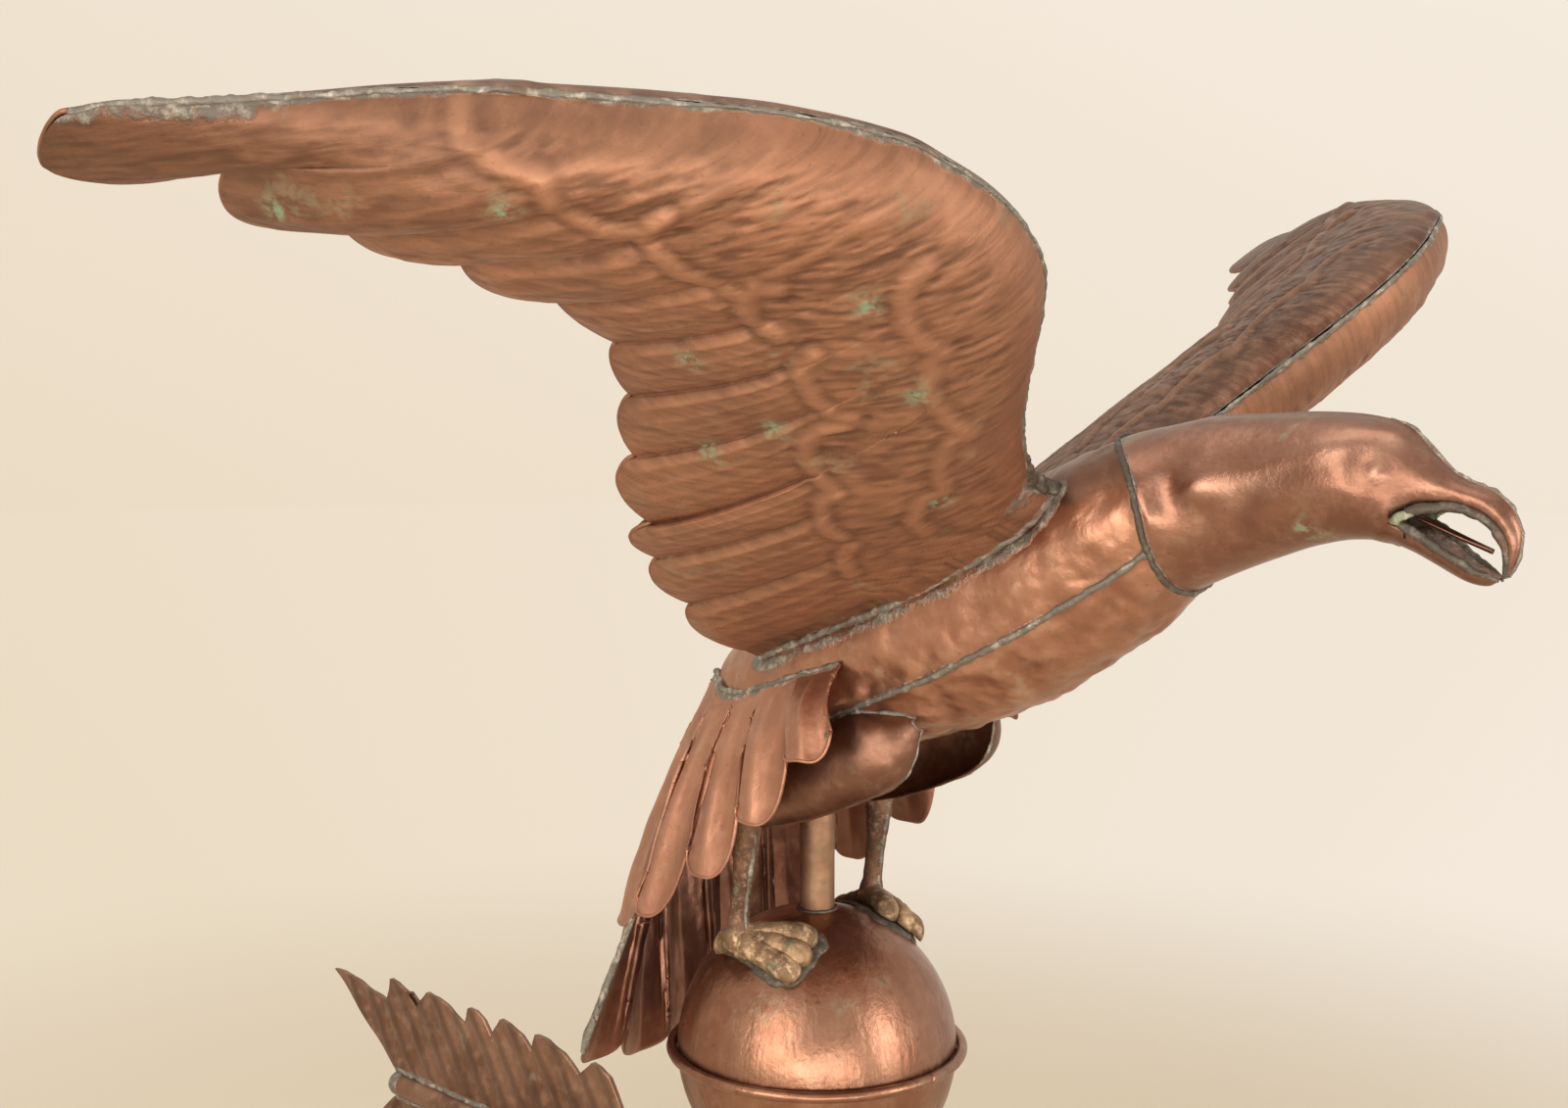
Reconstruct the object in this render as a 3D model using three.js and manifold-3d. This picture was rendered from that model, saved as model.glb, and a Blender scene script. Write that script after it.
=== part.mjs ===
import * as THREE from 'three';
import { mergeVertices } from 'three/addons/utils/BufferGeometryUtils.js';
import Module from 'manifold-3d';

// Eagle weathervane: a hollow copper eagle on a ball and arrow, turning on a fixed iron rod.
// Millimetres, +Z up, the beak and the arrow point along +X, origin at the foot of the rod.

const wasm = await Module();
wasm.setup();

// Common values
const sheetWall = 1;
const seatGap = 0.3;
const cutOverrun = 6;

// Rod, tube and bearing
const rodDiameter = 9.5;
const rodPointHeight = 7;
const tubeDiameter = 19;
const tubeWall = 2.2;
const tubeBelowBall = 92;
const tubeAboveBall = 140;
const rodBelowTube = 120;
const bushLength = 22;
const capPlugLength = 24;
const capFlangeHeight = 3;
const capPocketDepth = 12;

// Ball and its bead and collar
const ballDiameter = 152;
const beadDiameter = 6;
const collarHeight = 38;
const collarTopDiameter = 44;
const collarFootDiameter = 27;

// Arrow
const arrowDrop = 54;
const shaftDiameter = 17;
const hubDiameter = 31;
const hubHeight = 40;
const socketLength = 26;
const socketWall = 2.5;
const shaftRearReach = 404;
const shaftFrontReach = 318;
const shaftWall = 1.6;
const headLengthOfArrow = 118;
const headWidthOfArrow = 92;
const headBulgeOfArrow = 9;
const headSocketDepth = 30;
const fletchLength = 330;
const fletchHeight = 66;
const fletchThickness = 3;

// Eagle body
const bodyLength = 312;
const bodyDepth = 100;
const bodyWidth = 95;
const bodyPitch = 27;
const ringAhead = 212;
const ringAbove = 300;
const sideSeamAngle = 30;
const bodySeatGap = 0.5;
const neckSweepReach = 13;
const neckRingWidth = 6;
const neckRingHeight = 2.2;
const neckRingSeat = 0.5;

// Head
const headLength = 165;
const headSeatGap = 1;
const tongueThickness = 1.2;

// Wings
const wingLength = 420;
const wingChord = 209;
const wingDihedral = 27;
const wingAhead = 174;
const wingAbove = 316;
const wingAside = 48;
const underBulge = 33;
const upperBulge = 16;
const wingRootReach = 17;
const featherRelief = 1.6;
const featherFlute = 2.4;

// Coverts and tail
const covertLength = 140;
const covertSpread = 80;
const tailLength = 215;
const tailSpread = 88;
const covertFlute = 4;
const covertBulge = 4.5;
const tailFlute = 5;
const tailWall = 1.2;
const tailSeatGap = 0.6;

// Legs and feet
const thighLength = 122;
const thighDepth = 42;
const thighWidth = 36;
const thighPitch = 31;
const thighWrap = 200;
const thighInset = 16;
const hockHeight = 126;
const ankleAhead = -8;
const ankleDiameter = 17;
const legLean = 6;
const footAhead = 6;
const legDiameter = 15;
const footApart = 92;
const footLength = 40;
const toeDiameter = 16;
const footPadLength = 62;
const footPadWidth = 40;
const footPadBack = 5;
const footPadIn = 7;
const footPadThickness = 2.4;

// Facets
const roundSides = 24;
const tubeSides = 16;

// Worked-out sizes
const ballRadius = ballDiameter / 2;
const tubeRadius = tubeDiameter / 2;
const tubeBore = tubeRadius - tubeWall;
const rodRadius = rodDiameter / 2;
const shaftRadius = shaftDiameter / 2;
const arrowLevel = -ballRadius - arrowDrop;
const tubeFoot = -ballRadius - tubeBelowBall;
const tubeTop = ballRadius + tubeAboveBall;
const ballHeight = rodBelowTube - tubeFoot;

const radians = THREE.MathUtils.degToRad;
const vec = (x, y, z) => new THREE.Vector3(x, y, z);

// Materials
function metal(color, roughness, metalness = 1) {
  return new THREE.MeshStandardMaterial({ color, roughness, metalness });
}
const copper = () => metal(0x94553a, 0.42);
const darkCopper = () => metal(0x6b4032, 0.5);
const ballCopper = () => metal(0x8a4c34, 0.36);
const solder = () => metal(0x9a9284, 0.55);
const castBrass = () => metal(0x80693f, 0.55);
const iron = () => metal(0x4a4642, 0.6);

function part(name, geometry, material) {
  const mesh = new THREE.Mesh(geometry, material);
  mesh.name = name;
  return mesh;
}

// Solids from triangles, joins and cuts

// A closed surface from points and triangles, turned so that its faces point out
function closed(points, triangles) {
  let volume = 0;
  for (const [a, b, c] of triangles) {
    volume += points[a].dot(vec().crossVectors(points[b], points[c]));
  }
  const order = volume < 0 ? triangles.map(([a, b, c]) => [a, c, b]) : triangles;
  const geometry = new THREE.BufferGeometry();
  geometry.setAttribute('position', new THREE.Float32BufferAttribute(points.flatMap(p => p.toArray()), 3));
  geometry.setIndex(order.flat());
  return geometry;
}

function toManifold(geometry) {
  const bare = geometry.clone();
  bare.deleteAttribute('normal');
  bare.deleteAttribute('uv');
  const merged = mergeVertices(bare, 1e-4);
  const index = merged.index.array;
  const kept = [];
  for (let i = 0; i < index.length; i += 3) {
    const [a, b, c] = [index[i], index[i + 1], index[i + 2]];
    if (a !== b && b !== c && c !== a) kept.push(a, b, c);
  }
  const vertProperties = Float32Array.from(merged.attributes.position.array);
  return new wasm.Manifold(new wasm.Mesh({ numProp: 3, vertProperties, triVerts: Uint32Array.from(kept) }));
}

function toGeometry(solid) {
  const mesh = solid.getMesh();
  const geometry = new THREE.BufferGeometry();
  geometry.setAttribute('position', new THREE.BufferAttribute(Float32Array.from(mesh.vertProperties), 3));
  geometry.setIndex(Array.from(mesh.triVerts));
  return geometry;
}

function joined(...geometries) {
  return toGeometry(geometries.map(toManifold).reduce((sum, next) => sum.add(next)));
}

function cut(geometry, ...tools) {
  return toGeometry(tools.map(toManifold).reduce((rest, tool) => rest.subtract(tool), toManifold(geometry)));
}

// Triangles of a grid of points; a grid that wraps also joins its last column to its first
function gridFaces(rows, columns, at, wraps = false) {
  const faces = [];
  for (let i = 0; i < rows - 1; i++) {
    for (let j = 0; j < (wraps ? columns : columns - 1); j++) {
      const k = (j + 1) % columns;
      faces.push([at(i, j), at(i + 1, j), at(i + 1, k)], [at(i, j), at(i + 1, k), at(i, k)]);
    }
  }
  return faces;
}

// A sheet-metal skin between an outer and an inner grid of points, rimmed shut all round.
// The inner grid may skip rows: rowOf tells which outer row each of its rows lies under.
function skin(outer, inner, rowOf = outer.map((row, i) => i)) {
  const [rows, columns, innerRows] = [outer.length, outer[0].length, inner.length];
  const points = [...outer.flat(), ...inner.flat()];
  const top = (i, j) => i * columns + j;
  const under = (i, j) => (rows + i) * columns + j;
  const faces = gridFaces(rows, columns, top);
  for (const [a, b, c] of gridFaces(innerRows, columns, under)) faces.push([a, c, b]);
  const last = columns - 1;
  for (let j = 0; j < last; j++) {
    faces.push([top(0, j), top(0, j + 1), under(0, j + 1)], [top(0, j), under(0, j + 1), under(0, j)]);
    const [i, k] = [rows - 1, innerRows - 1];
    faces.push([top(i, j + 1), top(i, j), under(k, j)], [top(i, j + 1), under(k, j), under(k, j + 1)]);
  }
  for (let k = 0; k < innerRows - 1; k++) {
    for (let i = rowOf[k]; i < rowOf[k + 1]; i++) {
      faces.push([top(i + 1, 0), top(i, 0), under(k, 0)], [top(i, last), top(i + 1, last), under(k, last)]);
    }
    const i = rowOf[k + 1];
    faces.push([top(i, 0), under(k, 0), under(k + 1, 0)], [top(i, last), under(k + 1, last), under(k, last)]);
  }
  return closed(points, faces);
}

// A closed solid through rings of points, with a point at the middle of each end
function loft(rings) {
  const [rows, columns] = [rings.length, rings[0].length];
  const middle = ring => ring.reduce((sum, p) => sum.add(p), vec()).divideScalar(ring.length);
  const points = [...rings.flat(), middle(rings[0]), middle(rings[rows - 1])];
  const at = (i, j) => i * columns + j;
  const faces = gridFaces(rows, columns, at, true);
  for (let j = 0; j < columns; j++) {
    const k = (j + 1) % columns;
    faces.push([rows * columns, at(0, j), at(0, k)], [rows * columns + 1, at(rows - 1, k), at(rows - 1, j)]);
  }
  return closed(points, faces);
}

// The grid moved inward along its own normals, away from the side that `outward` names
function thickened(grid, wall, outward) {
  return grid.map((row, i) => row.map((p, j) => {
    const along = vec().subVectors(grid[Math.min(i + 1, grid.length - 1)][j], grid[Math.max(i - 1, 0)][j]);
    const across = vec().subVectors(row[Math.min(j + 1, row.length - 1)], row[Math.max(j - 1, 0)]);
    const normal = vec().crossVectors(along, across).normalize();
    const side = normal.dot(outward(p)) > 0 ? -wall(i, j) : wall(i, j);
    return p.clone().addScaledVector(normal, side);
  }));
}

// Smooth value at t from a table of [place, value] shares
function smoothShare(table, t) {
  let i = table.findIndex(row => row[0] >= t);
  if (i < 0) i = table.length - 1;
  if (i === 0) i = 1;
  const row = k => table[THREE.MathUtils.clamp(k, 0, table.length - 1)];
  const [p, q] = [row(i - 1), row(i)];
  const slope = k => (row(k + 1)[1] - row(k - 1)[1]) / (row(k + 1)[0] - row(k - 1)[0]);
  const width = q[0] - p[0];
  const s = THREE.MathUtils.clamp((t - p[0]) / width, 0, 1);
  const [s2, s3] = [s * s, s * s * s];
  return p[1] * (2 * s3 - 3 * s2 + 1) + q[1] * (3 * s2 - 2 * s3)
    + width * (slope(i - 1) * (s3 - 2 * s2 + s) + slope(i) * (s3 - s2));
}

// Revolved profile round the upright axis, closed on itself
function revolved(profile, sides = tubeSides) {
  const loop = [...profile, profile[0]].map(([r, z]) => new THREE.Vector2(r, z));
  return new THREE.LatheGeometry(loop, sides).rotateX(Math.PI / 2);
}

function uprightCylinder(radius, foot, head, sides = tubeSides) {
  return new THREE.CylinderGeometry(radius, radius, head - foot, sides)
    .rotateX(Math.PI / 2).translate(0, 0, (foot + head) / 2);
}

function levelCylinder(radius, rear, front, sides = tubeSides) {
  return new THREE.CylinderGeometry(radius, radius, front - rear, sides)
    .rotateZ(Math.PI / 2).translate((rear + front) / 2, 0, 0);
}

// Rod, tube and bearing, measured from the middle of the ball

function spindleRod() {
  const tip = tubeTop - capPlugLength + capPocketDepth - seatGap;
  const profile = [[0, -ballHeight], [rodRadius, -ballHeight], [rodRadius, tip - rodPointHeight], [0, tip]];
  const points = profile.map(([r, z]) => new THREE.Vector2(r, z));
  return part('spindle_rod', new THREE.LatheGeometry(points, tubeSides).rotateX(Math.PI / 2), iron());
}

function standardTube() {
  const profile = [[tubeBore, tubeFoot], [tubeRadius, tubeFoot], [tubeRadius, tubeTop], [tubeBore, tubeTop]];
  return part('standard_tube', revolved(profile), copper());
}

function bearingCap() {
  const plug = tubeBore - seatGap;
  const foot = tubeTop - capPlugLength;
  const flange = tubeTop + seatGap;
  const pocket = rodRadius + seatGap;
  const pocketTop = foot + capPocketDepth;
  const points = [
    [0, pocketTop], [pocket, pocketTop - rodPointHeight], [pocket, foot], [plug, foot], [plug, flange],
    [tubeRadius, flange], [tubeRadius, flange + capFlangeHeight], [0, flange + capFlangeHeight],
  ].map(([r, z]) => new THREE.Vector2(r, z));
  return part('bearing_cap', new THREE.LatheGeometry(points, tubeSides).rotateX(Math.PI / 2), castBrass());
}

function lowerBush() {
  const inner = rodRadius + seatGap;
  const outer = tubeBore - seatGap;
  const profile = [[inner, tubeFoot], [outer, tubeFoot], [outer, tubeFoot + bushLength],
    [inner, tubeFoot + bushLength]];
  return part('lower_bush', revolved(profile), castBrass());
}

// Ball

function halfBall(name, side) {
  const arc = (radius, steps, from, to) => Array.from({ length: steps + 1 }, (_, k) => {
    const angle = from + (to - from) * k / steps;
    return [radius * Math.cos(angle), side * radius * Math.sin(angle)];
  });
  const rim = Math.asin(seatGap / 2 / ballRadius);
  const hole = radius => Math.acos((tubeRadius + seatGap) / radius);
  const inner = ballRadius - sheetWall;
  const profile = [...arc(ballRadius, 6, rim, hole(ballRadius)), ...arc(inner, 3, hole(inner), rim)];
  const loop = side > 0 ? profile : profile.reverse();
  return part(name, revolved(loop, roundSides), ballCopper());
}

function ballBead() {
  const radius = beadDiameter / 2;
  const middle = ballRadius + seatGap + radius * Math.cos(Math.PI / 5);
  const profile = Array.from({ length: 5 }, (_, k) => {
    const angle = k * 2 * Math.PI / 5;
    return [middle + radius * Math.cos(angle), radius * Math.sin(angle)];
  });
  return part('ball_bead', revolved(profile, roundSides), darkCopper());
}

function ballCollar() {
  const bore = tubeRadius + seatGap;
  const foot = arrowLevel + hubHeight / 2 + seatGap;
  const head = foot + collarHeight;
  const seat = collarTopDiameter / 2;
  const profile = [[bore, foot], [collarFootDiameter / 2, foot], [collarFootDiameter / 2, foot + sheetWall],
    [(collarFootDiameter + tubeDiameter) / 4, (foot + head) / 2], [seat, head], [bore, head]];
  const ball = new THREE.SphereGeometry(ballRadius + seatGap, roundSides, roundSides).rotateX(Math.PI / 2);
  return part('ball_collar', cut(revolved(profile), ball), darkCopper());
}

// Arrow

function arrowHub() {
  const post = uprightCylinder(hubDiameter / 2, arrowLevel - hubHeight / 2, arrowLevel + hubHeight / 2);
  const sleeveEnd = hubDiameter / 2 + socketLength;
  const sleeve = levelCylinder(shaftRadius + socketWall, -sleeveEnd, sleeveEnd).translate(0, 0, arrowLevel);
  const bore = uprightCylinder(tubeRadius + seatGap, arrowLevel - hubHeight, arrowLevel + hubHeight);
  const socketFloor = tubeRadius + socketWall;
  const socket = levelCylinder(shaftRadius + seatGap, socketFloor, sleeveEnd + cutOverrun);
  const front = socket.clone().translate(0, 0, arrowLevel);
  const rear = socket.clone().rotateZ(Math.PI).translate(0, 0, arrowLevel);
  return part('arrow_hub', cut(joined(post, sleeve), bore, front, rear), castBrass());
}

function shaftTube(name, rear, front) {
  const tube = levelCylinder(shaftRadius, rear, front);
  const bore = levelCylinder(shaftRadius - shaftWall, rear - cutOverrun, front + cutOverrun);
  return part(name, cut(tube, bore).translate(0, 0, arrowLevel), copper());
}

// Outline of half an arrow head, as shares of its length and half width, from point to socket
const arrowHeadShares = [[1, 0], [0.7, 0.34], [0.4, 0.66], [0.12, 0.9]];
const arrowBackShares = [[0, 1], [0.02, 0.86], [0.07, 0.66], [0.12, 0.3], [0.12, 0]];

function arrowHead() {
  const half = headWidthOfArrow / 2;
  const outline = side => [...arrowHeadShares, ...arrowBackShares]
    .map(([along, up]) => new THREE.Vector2(along * headLengthOfArrow, side * up * half));
  const shape = new THREE.Shape([...outline(1), ...outline(-1).reverse().slice(1, -1)]);
  const plate = new THREE.ExtrudeGeometry(shape, { depth: headBulgeOfArrow, bevelEnabled: false })
    .translate(0, 0, -headBulgeOfArrow / 2).rotateX(Math.PI / 2);
  const taper = closed([
    vec(headLengthOfArrow, 0, 0), vec(0, -headBulgeOfArrow, 0), vec(0, 0, half + cutOverrun),
    vec(0, headBulgeOfArrow, 0), vec(0, 0, -half - cutOverrun),
  ], [[0, 1, 2], [0, 2, 3], [0, 3, 4], [0, 4, 1], [1, 4, 3], [1, 3, 2]]);
  const blade = toGeometry(toManifold(plate).intersect(toManifold(taper)));
  const collar = levelCylinder(shaftRadius + socketWall, -headSocketDepth / 2, headSocketDepth);
  const socket = levelCylinder(shaftRadius + seatGap, -headSocketDepth, headSocketDepth / 2);
  const head = cut(joined(blade, collar), socket);
  const base = shaftFrontReach - headSocketDepth / 2 + seatGap;
  return part('arrow_head', head.translate(base, 0, arrowLevel), copper());
}

// Barbs of the fletching: each is [place of its point, height of its point, place of the notch behind it]
const barbShares = [
  [0.13, 0.92, 0.17, 0.74], [0.3, 0.98, 0.31, 0.78], [0.41, 1, 0.44, 0.78], [0.51, 1, 0.53, 0.8],
  [0.66, 0.98, 0.7, 0.76], [0.79, 0.98, 0.8, 0.72], [1, 0.86, 0.88, 0.42],
];
const barbBendShare = 0.55;
const barbDropShare = 0.02;
const fletchSetShare = 0.78;

function fletching(name, side) {
  const foot = shaftRadius + seatGap;
  const front = fletchLength * fletchSetShare - shaftRearReach;
  const place = (along, up) => new THREE.Vector2(front - along * fletchLength, foot + up * fletchHeight);
  const points = [place(0, 0), place(0, 0.2), place(0.05, 0.62)];
  for (const [tipAt, tipUp, notchAt, notchUp] of barbShares) {
    const before = points[points.length - 1];
    const tip = place(tipAt, tipUp);
    const bend = Math.max(before.y, tip.y) - barbDropShare * fletchHeight;
    points.push(new THREE.Vector2(THREE.MathUtils.lerp(before.x, tip.x, barbBendShare), bend));
    points.push(tip, place(notchAt, notchUp));
  }
  points.push(place(0.82, 0.2), place(0.77, 0));
  const shape = new THREE.Shape(points);
  const blade = new THREE.ExtrudeGeometry(shape, { depth: fletchThickness, bevelEnabled: false })
    .translate(0, 0, -fletchThickness / 2).rotateX(Math.PI / 2).scale(1, 1, side);
  if (side < 0) blade.index ? blade.index.array.reverse() : reverseFaces(blade);
  return part(name, blade.translate(0, 0, arrowLevel), copper());
}

function reverseFaces(geometry) {
  const array = geometry.attributes.position.array;
  for (let i = 0; i < array.length; i += 9) {
    for (let k = 0; k < 3; k++) {
      [array[i + k], array[i + 3 + k]] = [array[i + 3 + k], array[i + k]];
    }
  }
}

// Body, in its own frame: x forward along the body from the neck ring, z up across it

// Shares of half the body's depth and width along the body, from the neck ring to the rump
const backShares = [[0, 0.77], [0.06, 0.8], [0.15, 0.83], [0.3, 0.93], [0.5, 1], [0.75, 1], [0.88, 0.9],
  [0.96, 0.66], [1, 0.34]];
const bellyShares = [[0, 0.77], [0.06, 0.91], [0.15, 1.02], [0.25, 1.09], [0.4, 1.08], [0.55, 0.96],
  [0.7, 0.78], [0.85, 0.56], [0.95, 0.38], [1, 0.2]];
const flankShares = [[0, 0.79], [0.06, 0.87], [0.15, 0.95], [0.27, 1], [0.55, 1], [0.72, 0.9], [0.86, 0.74],
  [0.95, 0.52], [1, 0.26]];
const neckSweepShare = 0.25;
const neckSweepTiltShare = 0.6;
const bodyStationShares = [0, 0.06, 0.13, 0.22, 0.33, 0.46, 0.6, 0.73, 0.84, 0.92, 0.97, 1];
const innerStationIndex = [0, 1, 3, 5, 7, 9, 10, 11];

// How far the edge at the neck ring reaches forward on the sides
function neckSweep(station, angle) {
  const fade = Math.max(0, 1 - station / neckSweepShare);
  return fade * neckSweepReach * Math.cos(angle) ** 2 * (1 + neckSweepTiltShare * Math.sin(angle));
}

function bodyPoint(station, angle, grow = 0, stretch = 0) {
  const up = Math.sin(angle);
  const rise = smoothShare(up > 0 ? backShares : bellyShares, station) * bodyDepth / 2 + grow;
  const flank = smoothShare(flankShares, station) * bodyWidth / 2 + grow;
  return vec(neckSweep(station, angle) - station * bodyLength - stretch, flank * Math.cos(angle), rise * up);
}

function bodySkin(from, to, steps) {
  const angles = Array.from({ length: steps + 1 }, (_, k) => from + (to - from) * k / steps);
  const grid = grow => bodyStationShares.map(s => angles.map(a => bodyPoint(s, a, grow)));
  const inner = grid(-sheetWall);
  return skin(grid(0), innerStationIndex.map(row => inner[row]), innerStationIndex);
}

// The body's outside grown by a clearance, as one solid to cut its neighbours with
function bodyEnvelope(clear) {
  const sides = 36;
  const angles = Array.from({ length: sides }, (_, k) => k * 2 * Math.PI / sides);
  const rings = bodyStationShares.map(s => angles.map(a => bodyPoint(s, a, clear)));
  rings.push(angles.map(a => bodyPoint(1, a, clear, clear)));
  return loft(rings);
}

function bodyFrame() {
  const frame = new THREE.Group();
  frame.position.set(ringAhead, 0, ringAbove);
  frame.rotation.y = -radians(bodyPitch);
  frame.updateMatrixWorld();
  return frame;
}

function tubeHole() {
  const hole = uprightCylinder(tubeRadius + seatGap, 0, tubeTop);
  return hole.applyMatrix4(bodyFrame().matrix.clone().invert());
}

function backShell() {
  const edge = radians(sideSeamAngle) - seatGap / bodyDepth;
  return part('back_shell', bodySkin(-edge, Math.PI + edge, 18), copper());
}

function breastShell() {
  const edge = radians(sideSeamAngle) + seatGap / bodyDepth;
  const shell = bodySkin(-edge, edge - Math.PI, 10);
  return part('breast_shell', cut(shell, tubeHole()), copper());
}

function neckRing() {
  const sides = 24;
  const seat = neckRingWidth / 2 / bodyLength;
  const ring = (share, height) => Array.from({ length: sides }, (_, k) =>
    bodyPoint(seat, k * 2 * Math.PI / sides, neckRingSeat + height, -(share + 0.5) * neckRingWidth));
  const rings = [-0.5, 0, 0.5].map(share => ring(share, share === 0 ? neckRingHeight : neckRingHeight / 3));
  return part('neck_ring', cut(loft(rings), loft([ring(-1, 0), ring(1, 0)])), solder());
}

// Head, measured from the middle of the neck ring.
// Each row holds shares of the head's length: top ahead, top up, underside ahead, underside up, half width
const headShares = [
  [0.12, 0.262, 0.2, -0.165, 0.188], [0.2, 0.27, 0.28, -0.13, 0.172],
  [0.3, 0.275, 0.37, -0.095, 0.158], [0.42, 0.28, 0.46, -0.062, 0.152], [0.53, 0.28, 0.55, -0.042, 0.15],
  [0.62, 0.274, 0.63, -0.036, 0.138], [0.655, 0.267, 0.66, -0.04, 0.128],
  [0.684, 0.261, 0.686, -0.043, 0.119], [0.7, 0.256, 0.7, -0.045, 0.112], [0.722, 0.243, 0.728, 0.03, 0.097],
  [0.77, 0.2, 0.78, 0.05, 0.08], [0.81, 0.148, 0.83, 0.057, 0.066], [0.87, 0.12, 0.875, 0.052, 0.055],
  [0.93, 0.097, 0.915, 0.034, 0.046], [0.975, 0.058, 0.945, 0.006, 0.038], [1, 0.0, 0.963, -0.03, 0.03],
  [0.995, -0.055, 0.966, -0.07, 0.021], [0.97, -0.108, 0.958, -0.11, 0.01],
];
// Eye, brow and the hollows before and behind the eye: ahead, up, height and breadth
const eyeShares = [[0.686, 0.143, 0.017, 0.02], [0.66, 0.205, 0.012, 0.05], [0.73, 0.12, -0.006, 0.03],
  [0.62, 0.13, -0.008, 0.04]];
// How much of a section is left inside the wall where the beak gets thin
const thinKeepShare = 0.35;
const headAngles = Array.from({ length: 8 }, (_, k) => Math.PI / 2 - k * Math.PI / 7);

// How far the side of the head stands out at a place on it
function eyeRelief(p) {
  return eyeShares.reduce((sum, [ahead, up, height, breadth]) => {
    const away = Math.hypot(p.x / headLength - ahead, p.z / headLength - up) / breadth;
    return sum + height * headLength * Math.exp(-(away ** 2));
  }, 0);
}

function headGrid(side, shrink) {
  return headShares.map(([topX, topZ, lowX, lowZ, wide]) => {
    const top = vec(topX, 0, topZ).multiplyScalar(headLength);
    const low = vec(lowX, 0, lowZ).multiplyScalar(headLength);
    const middle = top.clone().add(low).divideScalar(2);
    const rise = top.clone().sub(low).divideScalar(2);
    const half = wide * headLength;
    const keepRise = Math.max(thinKeepShare, 1 - shrink / rise.length());
    const keepHalf = Math.max(thinKeepShare, 1 - shrink / half);
    return headAngles.map(angle => {
      const p = middle.clone().addScaledVector(rise, keepRise * Math.sin(angle));
      return p.setY(side * (seatGap / 2 + (keepHalf * half + eyeRelief(p)) * Math.cos(angle)));
    });
  });
}

// The first row lies in the slanted plane of the neck ring
function onRing(row, side, shrink) {
  const frame = bodyFrame();
  frame.position.set(0, 0, 0);
  frame.updateMatrixWorld();
  return row.map((_, k) => {
    const angle = headAngles[k];
    const p = bodyPoint(0, side > 0 ? angle : Math.PI - angle, -shrink, -headSeatGap);
    if (Math.abs(p.y) < seatGap / 2) p.setY(side * seatGap / 2);
    return p.applyMatrix4(frame.matrix);
  });
}

function headShell(name, side) {
  const grid = shrink => {
    const rows = headGrid(side, shrink);
    return [onRing(rows[0], side, shrink), ...rows];
  };
  return part(name, skin(grid(0), grid(sheetWall)), copper());
}

const jawShares = [
  [0.7237, 0.0135, 0.7035, -0.046, 0.086], [0.79, -0.018, 0.775, -0.075, 0.074],
  [0.85, -0.058, 0.835, -0.106, 0.06], [0.9, -0.085, 0.885, -0.127, 0.045],
  [0.935, -0.1, 0.92, -0.13, 0.028], [0.948, -0.108, 0.938, -0.122, 0.012],
];

function lowerJaw() {
  const sides = 12;
  const rings = jawShares.map(([topX, topZ, lowX, lowZ, wide]) => {
    const top = vec(topX, 0, topZ).multiplyScalar(headLength);
    const low = vec(lowX, 0, lowZ).multiplyScalar(headLength);
    return Array.from({ length: sides }, (_, k) => {
      const angle = k * 2 * Math.PI / sides;
      const up = Math.sin(angle) > 0 ? 0.25 * Math.sin(angle) : Math.sin(angle);
      const share = (up + 1) / 1.25;
      return low.clone().lerp(top, share).setY(wide * headLength * Math.cos(angle));
    });
  });
  return part('lower_jaw', loft(rings), copper());
}

const tongueShares = [[0.7275, 0.02, 0.03], [0.8, 0.012, 0.026], [0.86, -0.006, 0.02],
  [0.915, -0.034, 0.008]];

function tongue() {
  const half = tongueThickness / 2;
  const rings = tongueShares.map(([ahead, up, wide]) => {
    const middle = vec(ahead, 0, up).multiplyScalar(headLength);
    const reach = wide * headLength;
    return [vec(0, reach, half), vec(0, -reach, half), vec(0, -reach, -half), vec(0, reach, -half)]
      .map(corner => corner.add(middle));
  });
  return part('tongue', loft(rings), darkCopper());
}

// Wings, each in its own flat frame: x forward, y out along the wing, z square to its plane

// Leading edge from root to tip: shares of the wing's length and of the root chord
const leadingShares = [[0, 0], [0.083, 0.141], [0.143, 0.281], [0.19, 0.396], [0.225, 0.472], [0.26, 0.521],
  [0.3, 0.555], [0.345, 0.572], [0.39, 0.572], [0.44, 0.563], [0.533, 0.482], [0.6, 0.394], [0.667, 0.297],
  [0.731, 0.205], [0.793, 0.089], [0.85, -0.04], [0.91, -0.175], [0.95, -0.268], [0.98, -0.352], [1, -0.432]];

// Feathers from tip to root: place on the leading edge where each starts, its notch on the
// trailing edge, and how far its rounded end stands out, as shares of length, chord and chord
const featherShares = [
  { lead: 0.996, out: 0.979, back: 0.47, round: 0 },
  { lead: 0.7, out: 0.86, back: 0.202, round: 0.078, steps: 6 },
  { lead: 0.59, out: 0.751, back: 0.248, round: 0.146, steps: 4 },
  { lead: 0.505, out: 0.65, back: 0.172, round: 0.064, steps: 4 },
  { lead: 0.435, out: 0.546, back: 0.172, round: 0.063, steps: 4 },
  { lead: 0.38, out: 0.466, back: 0.203, round: 0.014, steps: 4 },
  { lead: 0.335, out: 0.405, back: 0.321, round: 0.023, steps: 4 },
  { lead: 0.29, out: 0.339, back: 0.488, round: 0.032, steps: 4 },
  { lead: 0.24, out: 0.245, back: 0.673, round: 0.06, steps: 4 },
  { lead: 0.18, out: 0.2, back: 0.783, round: 0.063, steps: 3 },
  { lead: 0.1, out: 0.109, back: 0.896, round: 0.051, steps: 3 },
  { lead: 0, out: -0.007, back: 0.99, round: 0.057, steps: 3 },
];
const chordRowShares = [0, 0.04, 0.14, 0.29, 0.33, 0.61, 0.65, 1];
const innerRowIndex = [0, 2, 4, 6, 7];
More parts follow.
